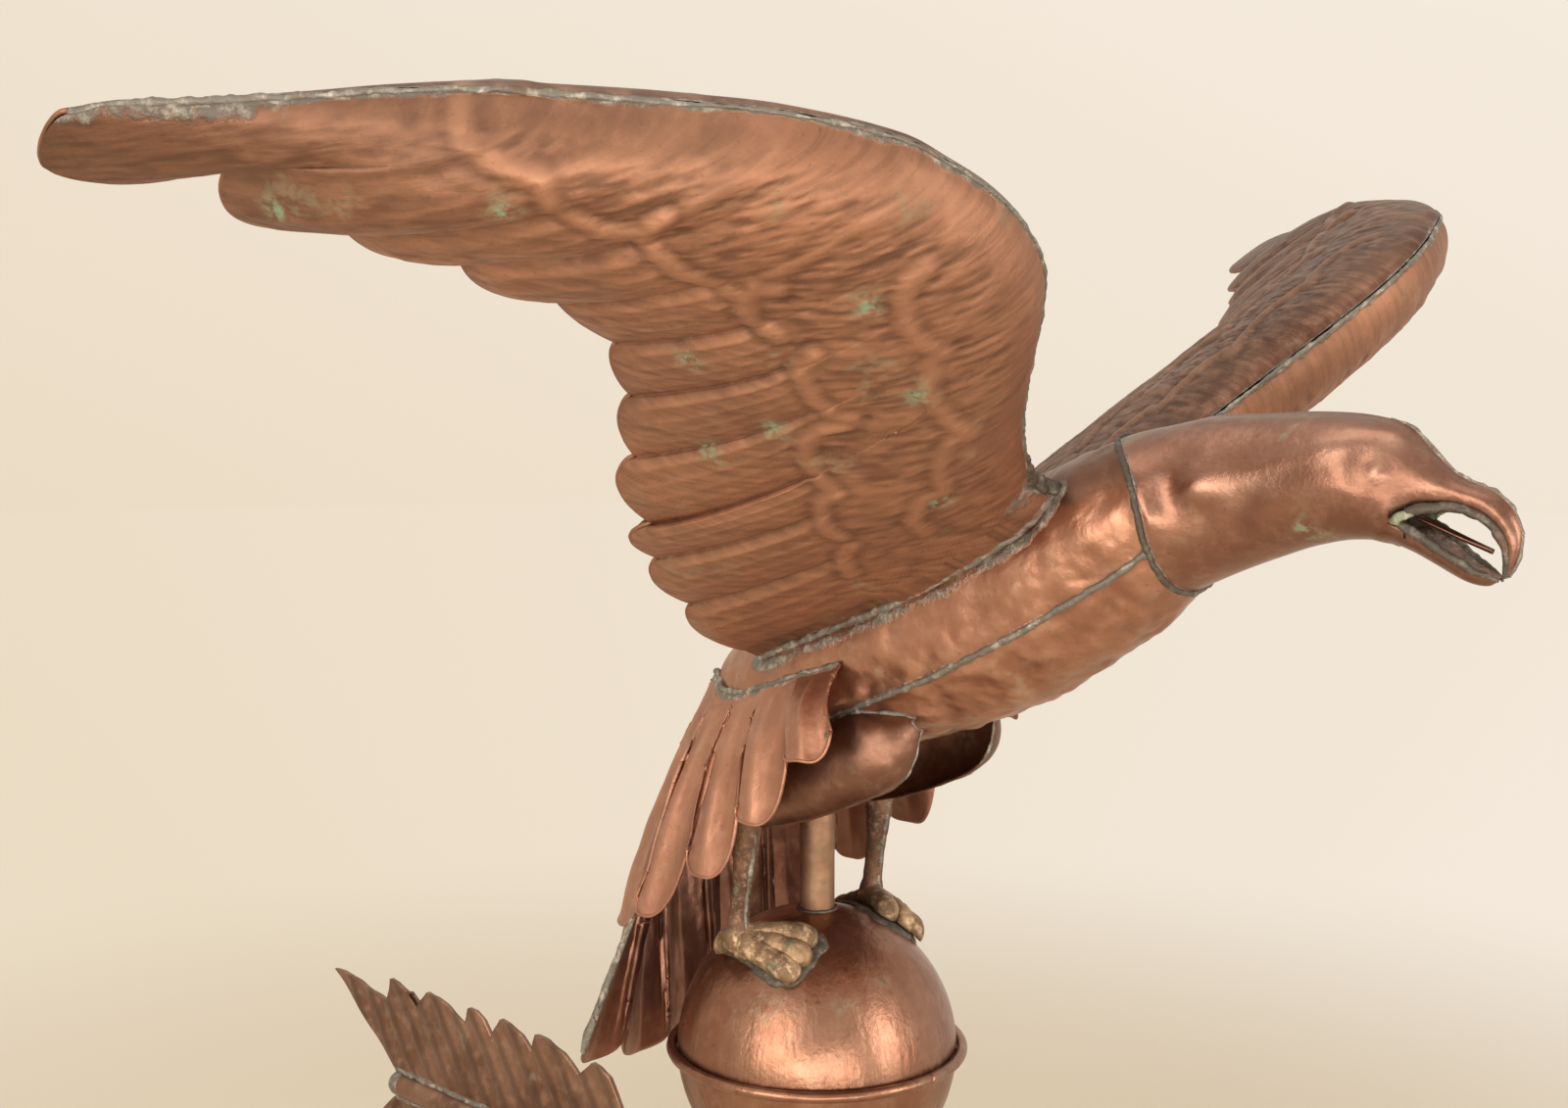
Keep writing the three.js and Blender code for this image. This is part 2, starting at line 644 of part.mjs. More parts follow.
const covertRows = [{ from: 3, to: 4 }, { from: 5, to: 6 }];
const covertLobeShare = 0.06;
const rootBulgeShare = 0.5;
const sectionPeakShare = 0.385;
const frontFluteShare = 0.4;

function leadingPoint(share) {
  return new THREE.Vector2(share * wingLength, -smoothShare(leadingShares, share) * wingChord);
}

// Columns of the wing: where each feather line starts in front and ends behind
function wingColumns() {
  const columns = [];
  for (let k = 1; k < featherShares.length; k++) {
    const [outer, inner] = [featherShares[k - 1], featherShares[k]];
    const from = new THREE.Vector2(outer.out * wingLength, outer.back * wingChord);
    const to = new THREE.Vector2(inner.out * wingLength, inner.back * wingChord);
    const away = new THREE.Vector2(from.y - to.y, to.x - from.x).normalize().multiplyScalar(-1);
    for (let step = k === 1 ? 0 : 1; step <= inner.steps; step++) {
      const q = step / inner.steps;
      const round = inner.round * wingChord * Math.sin(Math.PI * q ** 0.85) ** 0.7;
      const rear = from.clone().lerp(to, q).addScaledVector(away, round);
      const lead = leadingPoint(THREE.MathUtils.lerp(outer.lead, inner.lead, q));
      columns.push({ lead, rear, ridge: Math.sin(Math.PI * q) });
    }
  }
  return columns;
}

// Height of the skin over the seam plane
function wingRise({ lead, rear, ridge }, t, row, bulge) {
  const chord = lead.distanceTo(rear);
  const width = THREE.MathUtils.smoothstep(chord, 0, wingChord);
  const root = THREE.MathUtils.lerp(rootBulgeShare, 1, THREE.MathUtils.smoothstep(lead.x, 0, wingLength / 5));
  const round = Math.sqrt(t) * (1 - t) / sectionPeakShare;
  const level = covertRows.filter(step => row < step.to).length;
  const edge = Math.min(1, (1 - t) * 6) * Math.min(1, t * 12);
  const relief = edge * width * (level * featherRelief
    + featherFlute * ridge * THREE.MathUtils.lerp(frontFluteShare, 1, t));
  return bulge * width * root * round + relief;
}

function wingShell(side, up) {
  const columns = wingColumns();
  const root = columns[columns.length - 1];
  const inward = { ...root, lead: root.lead.clone(), rear: root.rear.clone() };
  inward.lead.x -= wingRootReach;
  inward.rear.x -= wingRootReach;
  const all = [...columns, inward];
  const place = (column, row, base) => {
    const covert = covertRows.some(step => row === step.from || row === step.to);
    const t = chordRowShares[row] + (covert ? covertLobeShare * (column.ridge - 0.5) : 0);
    const flat = column.lead.clone().lerp(column.rear, t);
    const rise = wingRise(column === inward ? root : column, t, row, up > 0 ? upperBulge : underBulge);
    return vec(-flat.y, side * flat.x, up * (seatGap / 2 + base + rise));
  };
  const outer = chordRowShares.map((_, row) => all.map(column => place(column, row, sheetWall)));
  const inner = innerRowIndex.map(row => all.map(column => place(column, row, 0)));
  return skin(outer, inner, innerRowIndex);
}

function wing(side, name) {
  const pitched = new THREE.Group();
  pitched.position.set(wingAhead, side * wingAside, wingAbove);
  pitched.rotation.y = -radians(bodyPitch);
  const raised = new THREE.Group();
  raised.rotation.x = side * radians(wingDihedral);
  pitched.add(raised);
  pitched.updateMatrixWorld();
  const toWing = raised.matrixWorld.clone().invert().multiply(bodyFrame().matrix);
  const body = bodyEnvelope(bodySeatGap).applyMatrix4(toWing);
  raised.add(part(`${name}_wing_upper_shell`, cut(wingShell(side, 1), body), copper()));
  raised.add(part(`${name}_wing_under_shell`, cut(wingShell(side, -1), body), copper()));
  return pitched;
}

// Tail coverts and tail, measured from the middle of the ball

// The seam of the coverts on the body, from the front edge to the middle of the back:
// station along the body and angle round it in turns
const covertSeamShares = [[0.55, -0.006], [0.64, 0.01], [0.73, 0.022], [0.81, 0.04], [0.87, 0.07],
  [0.91, 0.14], [0.945, 0.19], [0.965, 0.25]];
// Its hem as ahead (of the length), aside (of the spread) and up (of the length), from the rump:
// the notches between feathers, and the round end of each feather behind its notch
const covertNotchShares = [[1.014, 0.9, 0.243], [0.843, 0.975, 0.143], [0.6, 0.975, -0.079],
  [0.343, 0.975, -0.271], [0.1, 0.95, -0.414], [-0.157, 0.65, -0.52], [-0.371, 0.25, -0.57]];
const covertTipShares = [[0.943, 1.01, 0.121], [0.7, 1, -0.136], [0.45, 1, -0.371], [0.129, 1, -0.579],
  [-0.129, 0.8, -0.686], [-0.33, 0.43, -0.743], [-0.414, 0, -0.77]];
const covertRowShares = [0, 0.33, 0.72, 1];
const featherSteps = 4;
const fluteFullShare = 0.33;

// The tail's hem, in the same way. Its upper part lies against the inside of the coverts, on two
// of their rows, from one notch line of theirs to the same one on the other side. It touches them on
// the first of these rows and leaves out their swell on the second
const tailNotchShares = [[-0.116, 1, -0.712], [-0.13, 0.66, -0.765], [-0.15, 0.22, -0.79]];
const tailTipShares = [[-0.12, 0.9, -0.802], [-0.142, 0.45, -0.828], [-0.158, 0, -0.84]];
const tailRowShares = [0.4, 1];
const tailSeatRows = [1, 2];
const tailRootNotch = 4;

function rump() {
  const pitch = radians(bodyPitch);
  return vec(ringAhead - bodyLength * Math.cos(pitch), 0, ringAbove - bodyLength * Math.sin(pitch));
}

function fromRump([ahead, aside, up], side, length, spread) {
  return rump().add(vec(ahead * length, side * aside * spread, up * length));
}

// Whole hem from the right front edge round the back to the left: notches, ends and seam points
function bothSides(rows, turn, middleShared) {
  const right = rows.map(row => turn(row, -1));
  const left = rows.map(row => turn(row, 1)).reverse();
  return middleShared ? [...right, ...left.slice(1)] : [...right, ...left];
}

// A point between two notches, drawn out to the round end of the feather
function hemPoint(from, to, tip, q) {
  const flat = from.clone().lerp(to, q);
  const middle = from.clone().add(to).divideScalar(2);
  return flat.addScaledVector(tip.clone().sub(middle), Math.sin(Math.PI * q) ** 0.6);
}

const tailOutward = p => vec(p.x - wingAhead, p.y * 4, 0);

// Columns of a hem, feather by feather: place on the root line in feathers, point of the hem and
// how far it is up the feather's ridge
function hemColumns(notches, tips) {
  const columns = [];
  for (let k = 0; k < tips.length; k++) {
    for (let step = k === 0 ? 0 : 1; step <= featherSteps; step++) {
      const q = step / featherSteps;
      const hem = hemPoint(notches[k], notches[k + 1], tips[k], q);
      columns.push({ place: k + q, hem, ridge: Math.sin(Math.PI * q) });
    }
  }
  return columns;
}

function covertSwell(row) {
  return covertBulge * Math.sin(Math.PI * covertRowShares[row]);
}

function covertGrid() {
  const frame = bodyFrame().matrix;
  const seat = seatGap + sheetWall;
  const onBody = ([station, turns], side) => {
    const angle = turns * 2 * Math.PI;
    const p = bodyPoint(station, side > 0 ? angle : Math.PI - angle, seat);
    return p.applyMatrix4(frame);
  };
  const place = (row, side) => fromRump(row, side, covertLength, covertSpread);
  const seam = new THREE.CatmullRomCurve3(bothSides(covertSeamShares, onBody, true), false, 'centripetal');
  const tips = bothSides(covertTipShares, place, true);
  const columns = hemColumns(bothSides(covertNotchShares, place, false), tips);
  const plain = covertRowShares.map(t =>
    columns.map(column => seam.getPoint(column.place / tips.length).lerp(column.hem, t)));
  const flute = (i, j) => columns[j].ridge * covertFlute * Math.min(1, covertRowShares[i] / fluteFullShare);
  return thickened(plain, (i, j) => -covertSwell(i) - flute(i, j), tailOutward);
}

function tailCoverts() {
  const outer = covertGrid();
  return part('tail_coverts', skin(outer, thickened(outer, () => sheetWall, tailOutward)), copper());
}

function tailFan() {
  const place = (row, side) => fromRump(row, side, tailLength, tailSpread);
  const columns = hemColumns(bothSides(tailNotchShares, place, false), bothSides(tailTipShares, place, true));
  const drawnIn = row => row > tailSeatRows[0] ? covertSwell(row) : 0;
  const inside = thickened(covertGrid(), row => sheetWall + tailSeatGap + drawnIn(row), tailOutward);
  const first = tailRootNotch * featherSteps;
  const seated = tailSeatRows.map(row => inside[row].slice(first, first + columns.length));
  const from = seated[seated.length - 1];
  const plain = tailRowShares.map(t => columns.map(({ hem }, j) => from[j].clone().lerp(hem, t)));
  const flute = (i, j) => -columns[j].ridge * (tailFlute - covertFlute * (1 - tailRowShares[i]));
  const outer = [...seated, ...thickened(plain, flute, tailOutward)];
  return part('tail_fan', skin(outer, thickened(outer, () => tailWall, tailOutward)), darkCopper());
}

// Legs and feet

// Thigh from its front to the hock: ahead and up (of its length), depth and width (of their halves)
const thighShares = [[0.848, 0.547, 0.15, 0.2], [0.766, 0.48, 0.7, 0.72], [0.649, 0.418, 1, 1],
  [0.446, 0.308, 0.98, 0.98], [0.274, 0.208, 0.8, 0.84], [0.131, 0.118, 0.55, 0.62],
  [0.039, 0.052, 0.3, 0.4]];

// Rings along the thigh through the given angles, from the outermost side round
function thighRings(side, grow, angles) {
  const pitch = radians(thighPitch);
  return thighShares.map(([ahead, up, depth, width], row) => {
    const aside = footApart / 2 - thighInset * (1 - row / (thighShares.length - 1));
    const stretch = row === 0 ? grow : row === thighShares.length - 1 ? -grow : 0;
    const middle = vec(ankleAhead + ahead * thighLength + stretch * Math.cos(pitch), side * aside,
      hockHeight + up * thighLength + stretch * Math.sin(pitch));
    return angles.map(angle => {
      const rise = (depth * thighDepth / 2 + grow) * Math.sin(angle);
      const reach = side * (width * thighWidth / 2 + grow) * Math.cos(angle);
      return middle.clone().add(vec(-rise * Math.sin(pitch), reach, rise * Math.cos(pitch)));
    });
  });
}

// A sheet bent over the outer side only, open toward the other thigh
function thigh(name, side) {
  const steps = 8;
  const half = radians(thighWrap) / 2;
  const angles = Array.from({ length: steps + 1 }, (_, k) => half * (2 * k / steps - 1));
  const shell = skin(thighRings(side, 0, angles), thighRings(side, -sheetWall, angles));
  const body = bodyEnvelope(bodySeatGap).applyMatrix4(bodyFrame().matrix);
  return part(name, cut(shell, body), copper());
}

// The foot's frame touches the ball: x along the foot, z away from the ball's middle
function footFrame(side) {
  const aside = side * footApart / 2;
  const height = Math.sqrt(ballRadius ** 2 - aside ** 2 - footAhead ** 2);
  const out = vec(footAhead, aside, height).normalize();
  const ahead = vec(1, 0, 0).addScaledVector(out, -out.x).normalize();
  const frame = new THREE.Group();
  const turn = new THREE.Matrix4().makeBasis(ahead, vec().crossVectors(out, ahead), out);
  frame.quaternion.setFromRotationMatrix(turn);
  frame.position.copy(out.multiplyScalar(ballRadius));
  frame.updateMatrixWorld();
  return frame;
}

const ankleLevelShare = 0.45;

// The ankle's knob, as a point of the foot's frame
function anklePoint(side) {
  return vec(ankleAhead - footAhead, 0, footPadThickness + ankleDiameter * ankleLevelShare);
}

// How far the ball falls away below the foot's frame at a place in it
function ballFall(x, y) {
  return ballRadius - Math.sqrt(ballRadius ** 2 - x ** 2 - y ** 2);
}

// Shares of a toe's length, of its rise and of its thickness, from the ankle to the claw
const toeShares = [[0, 0.9, 0.8], [0.26, 0.8, 0.98], [0.58, 0.52, 0.94], [0.84, 0.38, 0.96],
  [0.97, 0.32, 0.72], [1, 0.3, 0.38]];

function toe(angle, length, thick) {
  const across = vec(-Math.sin(angle), Math.cos(angle), 0);
  return loft(toeShares.map(([along, up, size]) => {
    const x = ankleAhead - footAhead + along * length * Math.cos(angle);
    const y = along * length * Math.sin(angle);
    const middle = vec(x, y, footPadThickness + up * thick / 2 - ballFall(x, y));
    return Array.from({ length: 6 }, (_, k) => {
      const turn = k * Math.PI / 3;
      const radius = size * thick / 2;
      const rise = vec(0, 0, radius * Math.sin(turn));
      return middle.clone().addScaledVector(across, radius * Math.cos(turn)).add(rise);
    });
  }));
}

// Front toes from the outer to the inner, turned in toward the other foot
const toeAngles = [-8, 10, 30];
const hindToeShares = { length: 0.5, thick: 0.95 };

// The ball grown by a clearance, in the foot's frame
function ballBelow(clear) {
  return new THREE.SphereGeometry(ballRadius + clear, 36, 24).translate(0, 0, -ballRadius);
}

function foot(name, side) {
  const knob = new THREE.SphereGeometry(ankleDiameter / 2, 8, 6).translate(...anklePoint(side).toArray());
  const toes = toeAngles.map(angle => toe(-side * radians(angle), footLength, toeDiameter));
  const hind = toe(Math.PI, footLength * hindToeShares.length, toeDiameter * hindToeShares.thick);
  return part(name, cut(joined(knob, ...toes, hind), ballBelow(footPadThickness + seatGap)), castBrass());
}

// Outline of the pad, heel to toes, as shares of its length and half width
const padShares = [[-0.5, 0.1], [-0.47, 0.4], [-0.3, 0.6], [0, 0.82], [0.25, 1], [0.42, 0.9], [0.5, 0.4]];

// The pad is a patch of even thickness on the ball
function footBase(name, side) {
  const points = [1, -1].flatMap(half => {
    const edge = padShares.map(([along, wide]) =>
      new THREE.Vector2(along * footPadLength, half * wide * footPadWidth / 2));
    return half > 0 ? edge : edge.reverse();
  });
  const depth = footPadThickness + ballRadius;
  const block = new THREE.ExtrudeGeometry(new THREE.Shape(points), { depth, bevelEnabled: false })
    .translate(-footPadBack, -side * footPadIn, footPadThickness - depth);
  const patch = toManifold(block).intersect(toManifold(ballBelow(footPadThickness)));
  return part(name, cut(toGeometry(patch), ballBelow(2 * seatGap)), solder());
}

// Leg from ankle to hock: height share, lean share and thickness share
const legShares = [[0.155, 0, 0.95], [0.22, 0.1, 0.88], [0.5, 0.5, 0.78], [0.85, 0.9, 0.95], [1.15, 1, 1.1]];

function leg(name, side, frame) {
  const ankle = anklePoint(side).applyMatrix4(frame.matrix);
  const rise = hockHeight - ankle.z;
  const rings = legShares.map(([up, lean, size]) => {
    const middle = ankle.clone().add(vec(lean * legLean, 0, up * rise));
    return Array.from({ length: 10 }, (_, k) => {
      const turn = k * Math.PI / 5;
      const radius = size * legDiameter / 2;
      return middle.clone().add(vec(radius * Math.cos(turn), radius * Math.sin(turn), 0));
    });
  });
  const knob = new THREE.SphereGeometry(ankleDiameter / 2 + seatGap, 10, 6)
    .translate(...anklePoint(side).toArray()).applyMatrix4(frame.matrix);
  const round = Array.from({ length: 18 }, (_, k) => k * Math.PI / 9);
  return part(name, cut(loft(rings), knob, loft(thighRings(side, seatGap, round))), castBrass());
}

// Assembly

function eagle() {
  const bird = new THREE.Group();
  const body = bodyFrame();
  body.add(backShell(), breastShell(), neckRing());
  const head = new THREE.Group();
  head.position.set(ringAhead, 0, ringAbove);
  head.add(headShell('head_right_shell', -1), headShell('head_left_shell', 1), lowerJaw(), tongue());
  bird.add(body, head, wing(-1, 'right'), wing(1, 'left'), tailCoverts(), tailFan());
  for (const [side, name] of [[-1, 'right'], [1, 'left']]) {
    const frame = footFrame(side);
    frame.add(foot(`${name}_foot`, side), footBase(`${name}_foot_base`, side));
    bird.add(thigh(`${name}_thigh`, side), leg(`${name}_leg`, side, frame), frame);
  }
  return bird;
}

function ballAndTube() {
  const group = new THREE.Group();
  group.add(halfBall('ball_upper', 1), halfBall('ball_lower', -1), ballBead(), ballCollar());
  group.add(standardTube(), bearingCap(), lowerBush());
  return group;
}

function arrow() {
  const group = new THREE.Group();
  const socketFloor = tubeRadius + socketWall + seatGap;
  group.add(arrowHub(), shaftTube('arrow_shaft_front', socketFloor, shaftFrontReach));
  group.add(shaftTube('arrow_shaft_rear', -shaftRearReach, -socketFloor), arrowHead());
  group.add(fletching('fletching_upper', 1), fletching('fletching_lower', -1));
  return group;
}

const weathervane = new THREE.Group();
weathervane.position.z = ballHeight;
weathervane.add(spindleRod(), ballAndTube(), arrow(), eagle());

export default weathervane;
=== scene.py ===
import math

import bpy
import mathutils
import numpy as np
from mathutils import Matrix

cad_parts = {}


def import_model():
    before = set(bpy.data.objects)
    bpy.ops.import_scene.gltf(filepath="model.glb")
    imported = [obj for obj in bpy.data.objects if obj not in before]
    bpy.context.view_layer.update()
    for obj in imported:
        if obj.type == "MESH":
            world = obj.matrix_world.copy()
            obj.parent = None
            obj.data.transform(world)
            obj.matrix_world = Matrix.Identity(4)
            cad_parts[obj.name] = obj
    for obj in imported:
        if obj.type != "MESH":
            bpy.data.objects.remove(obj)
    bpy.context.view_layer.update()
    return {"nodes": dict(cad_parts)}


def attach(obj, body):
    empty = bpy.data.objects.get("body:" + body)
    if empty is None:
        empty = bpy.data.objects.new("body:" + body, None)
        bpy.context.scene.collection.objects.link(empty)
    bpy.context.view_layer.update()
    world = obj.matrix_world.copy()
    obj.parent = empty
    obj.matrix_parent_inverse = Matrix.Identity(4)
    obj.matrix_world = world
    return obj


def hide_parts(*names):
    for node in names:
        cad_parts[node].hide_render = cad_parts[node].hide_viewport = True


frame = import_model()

# Eagle weathervane. Shapes are worked out in millimetres from the middle of the ball,
# with x towards the beak, y to the eagle's left and z up, and placed in metres.
MM = 0.001
BALL_HEIGHT = 288.0
BODY_PITCH = math.radians(27)
RING = np.array([212.0, 0, 300.0])
UP = np.array([0, 0, 1.0])
SIDES = ((-1, "right"), (1, "left"))


# Numbers and shapes

def smooth(table, t):
    """Smooth value at t from rows of (place, value)."""
    rows = np.array(table, float)
    x, y = rows[:, 0], rows[:, 1]
    k = np.arange(len(x))
    low, high = np.clip(k - 1, 0, len(x) - 1), np.clip(k + 1, 0, len(x) - 1)
    slope = (y[high] - y[low]) / (x[high] - x[low])
    t = np.asarray(t, float)
    i = np.clip(np.searchsorted(x, t), 1, len(x) - 1)
    w = x[i] - x[i - 1]
    s = np.clip((t - x[i - 1]) / w, 0, 1)
    return (y[i - 1] * (2 * s**3 - 3 * s**2 + 1) + y[i] * (3 * s**2 - 2 * s**3)
            + w * (slope[i - 1] * (s**3 - 2 * s**2 + s) + slope[i] * (s**3 - s**2)))


def curve_rows(rows, t):
    """Smooth rows of numbers through given rows, at t from 0 to 1."""
    rows = np.array(rows, float)
    place = np.linspace(0, 1, len(rows))
    return np.stack([smooth(np.c_[place, rows[:, k]], t) for k in range(rows.shape[1])], axis=-1)


def ease(low, high, x):
    """A smooth step from 0 where x is low to 1 where it is high."""
    s = np.clip((np.asarray(x, float) - low) / (high - low), 0, 1)
    return s * s * (3 - 2 * s)


def bell(x, width):
    """1 at x = 0, falling smoothly away on both sides."""
    return np.exp(-(np.asarray(x) / width) ** 2)


def points(*values):
    """Points from their coordinates, which broadcast together."""
    return np.stack(np.broadcast_arrays(*values), axis=-1)


def round_angles(count):
    return np.linspace(0, 2 * np.pi, count, endpoint=False)


def circle(radius, angle, height=0.0):
    """Points round the upright axis."""
    return points(radius * np.cos(angle), radius * np.sin(angle), height)


def lumps(p, size, seed=0):
    """Smooth noise from -1 to 1, with lumps of the given size in mm."""
    q = np.asarray(p, float) / size + seed * 7.31
    i = np.floor(q).astype(np.int64)
    f = q - i
    f = f * f * f * (f * (f * 6 - 15) + 10)
    total = 0
    for corner in np.ndindex(2, 2, 2):
        j = i + corner
        n = (j[..., 0] * 73856093) ^ (j[..., 1] * 19349663) ^ (j[..., 2] * 83492791)
        n = (n ^ (n >> 13)) * 1274126177
        n = n ^ (n >> 16)
        weight = np.prod(np.where(corner, f, 1 - f), axis=-1)
        total = total + weight * ((n & 0xFFFF) / 32767.5 - 1)
    return total


def flat_lumps(a, b, seed=0):
    return lumps(points(a, b, seed * 3.7), 1.0, seed)


def normals(p, wrap=False):
    """Unit normals of a grid of points, as rows cross columns."""
    if wrap:
        across = (np.roll(p, -1, axis=1) - np.roll(p, 1, axis=1)) / 2
    else:
        across = np.gradient(p, axis=1)
    n = np.cross(np.gradient(p, axis=0), across)
    return n / np.maximum(np.linalg.norm(n, axis=-1, keepdims=True), 1e-9)


def raised(p, amount, outward, wrap=False):
    """The grid moved along its normals, on the side that outward points to."""
    n = normals(p, wrap)
    side = np.sign(np.sum(n * outward, axis=-1, keepdims=True))
    return p + n * side * np.asarray(amount)[..., None]


def pitched(p, at=RING):
    """Points of the body's level frame, tilted as the eagle stands and moved to a place."""
    c, s = math.cos(BODY_PITCH), math.sin(BODY_PITCH)
    return points(c * p[..., 0] - s * p[..., 2], p[..., 1], s * p[..., 0] + c * p[..., 2]) + at


def resample(path, count):
    """Evenly spaced points along a line of points."""
    path = np.asarray(path, float)
    length = np.r_[0, np.cumsum(np.linalg.norm(np.diff(path, axis=0), axis=1))]
    at = np.linspace(0, length[-1], count)
    return np.stack([np.interp(at, length, path[:, k]) for k in range(path.shape[1])], axis=-1)


def line_gap(p, line):
    """Distance from points to a line of points, flat or in space."""
    best = np.full(p.shape[:-1], 1e9)
    for a, b in zip(line[:-1], line[1:]):
        d = b - a
        s = np.clip(((p - a) @ d) / (d @ d), 0, 1)
        best = np.minimum(best, np.linalg.norm(p - a - s[..., None] * d, axis=-1))
    return best


# Materials

class Nodes:
    """A short way to write the nodes of a material or a world."""

    def __init__(self, owner, output="ShaderNodeOutputMaterial"):
        owner.use_nodes = True
        self.owner = owner
        self.tree = owner.node_tree
        self.tree.nodes.clear()
        self.out = self.add(output)
        self.coordinates = self.add("ShaderNodeTexCoord").outputs
        self.place = self.coordinates["Object"]

    def add(self, kind, **settings):
        node = self.tree.nodes.new(kind)
        for key, value in settings.items():
            setattr(node, key, value)
        return node

    def join(self, value, socket):
        if isinstance(value, bpy.types.NodeSocket):
            self.tree.links.new(value, socket)
        elif isinstance(value, tuple) and len(value) == 3 and len(socket.default_value) == 4:
            socket.default_value = (*value, 1)
        else:
            socket.default_value = value

    def made(self, kind, inputs, output=0, **settings):
        """The output of a new node with the given inputs."""
        node = self.add(kind, **settings)
        for key, value in inputs.items():
            self.join(value, node.inputs[key])
        return node.outputs[output]

    def math(self, kind, *values, clamp=False):
        return self.made("ShaderNodeMath", dict(enumerate(values)), operation=kind, use_clamp=clamp)

    def times(self, first, second, clamp=False):
        return self.math("MULTIPLY", first, second, clamp=clamp)

    def plus(self, first, second, clamp=False):
        return self.math("ADD", first, second, clamp=clamp)

    def vector(self, kind, first, second=(0, 0, 0), output="Value"):
        return self.made("ShaderNodeVectorMath", {0: first, 1: second}, output, operation=kind)

    def noise(self, scale, detail=3.0, rough=0.55, place=None, stretch=None, warp=0.0):
        place = place or self.place
        if stretch:
            place = self.made("ShaderNodeMapping", {"Vector": place, "Scale": stretch})
        return self.made("ShaderNodeTexNoise", {
            "Vector": place, "Scale": scale, "Detail": detail, "Roughness": rough, "Distortion": warp}, "Fac")

    def ramp(self, value, low, high, shape="SMOOTHSTEP"):
        return self.made("ShaderNodeMapRange", {"Value": value, "From Min": low, "From Max": high}, "Result",
                         interpolation_type=shape)

    def mix(self, share, first, second):
        return self.made("ShaderNodeMix", {0: share, 6: first, 7: second}, 2, data_type="RGBA")

    def tint(self, color, share, amount, second, clamp=False):
        """The colour, with an amount of a second colour where share says."""
        return self.mix(self.times(share, amount, clamp), color, second)

    def mask(self, name):
        return self.add("ShaderNodeAttribute", attribute_name=name).outputs["Fac"]

    def surface(self, color, rough, metal, height, coat=0.0):
        bump = self.made("ShaderNodeBump", {"Height": height, "Distance": 1.0, "Strength": 1.0})
        shader = self.made("ShaderNodeBsdfPrincipled", {
            "Base Color": color, "Roughness": rough, "Metallic": metal, "Coat Weight": coat, "Coat Roughness": 0.35,
            "Normal": bump})
        self.join(shader, self.out.inputs["Surface"])
        return self.owner


def scaled(color, share):
    return tuple(share * c for c in color)


SOLDER = (0.18, 0.158, 0.132)
SOLDER_PALE = (0.46, 0.42, 0.35)
GREEN = (0.18, 0.25, 0.15)


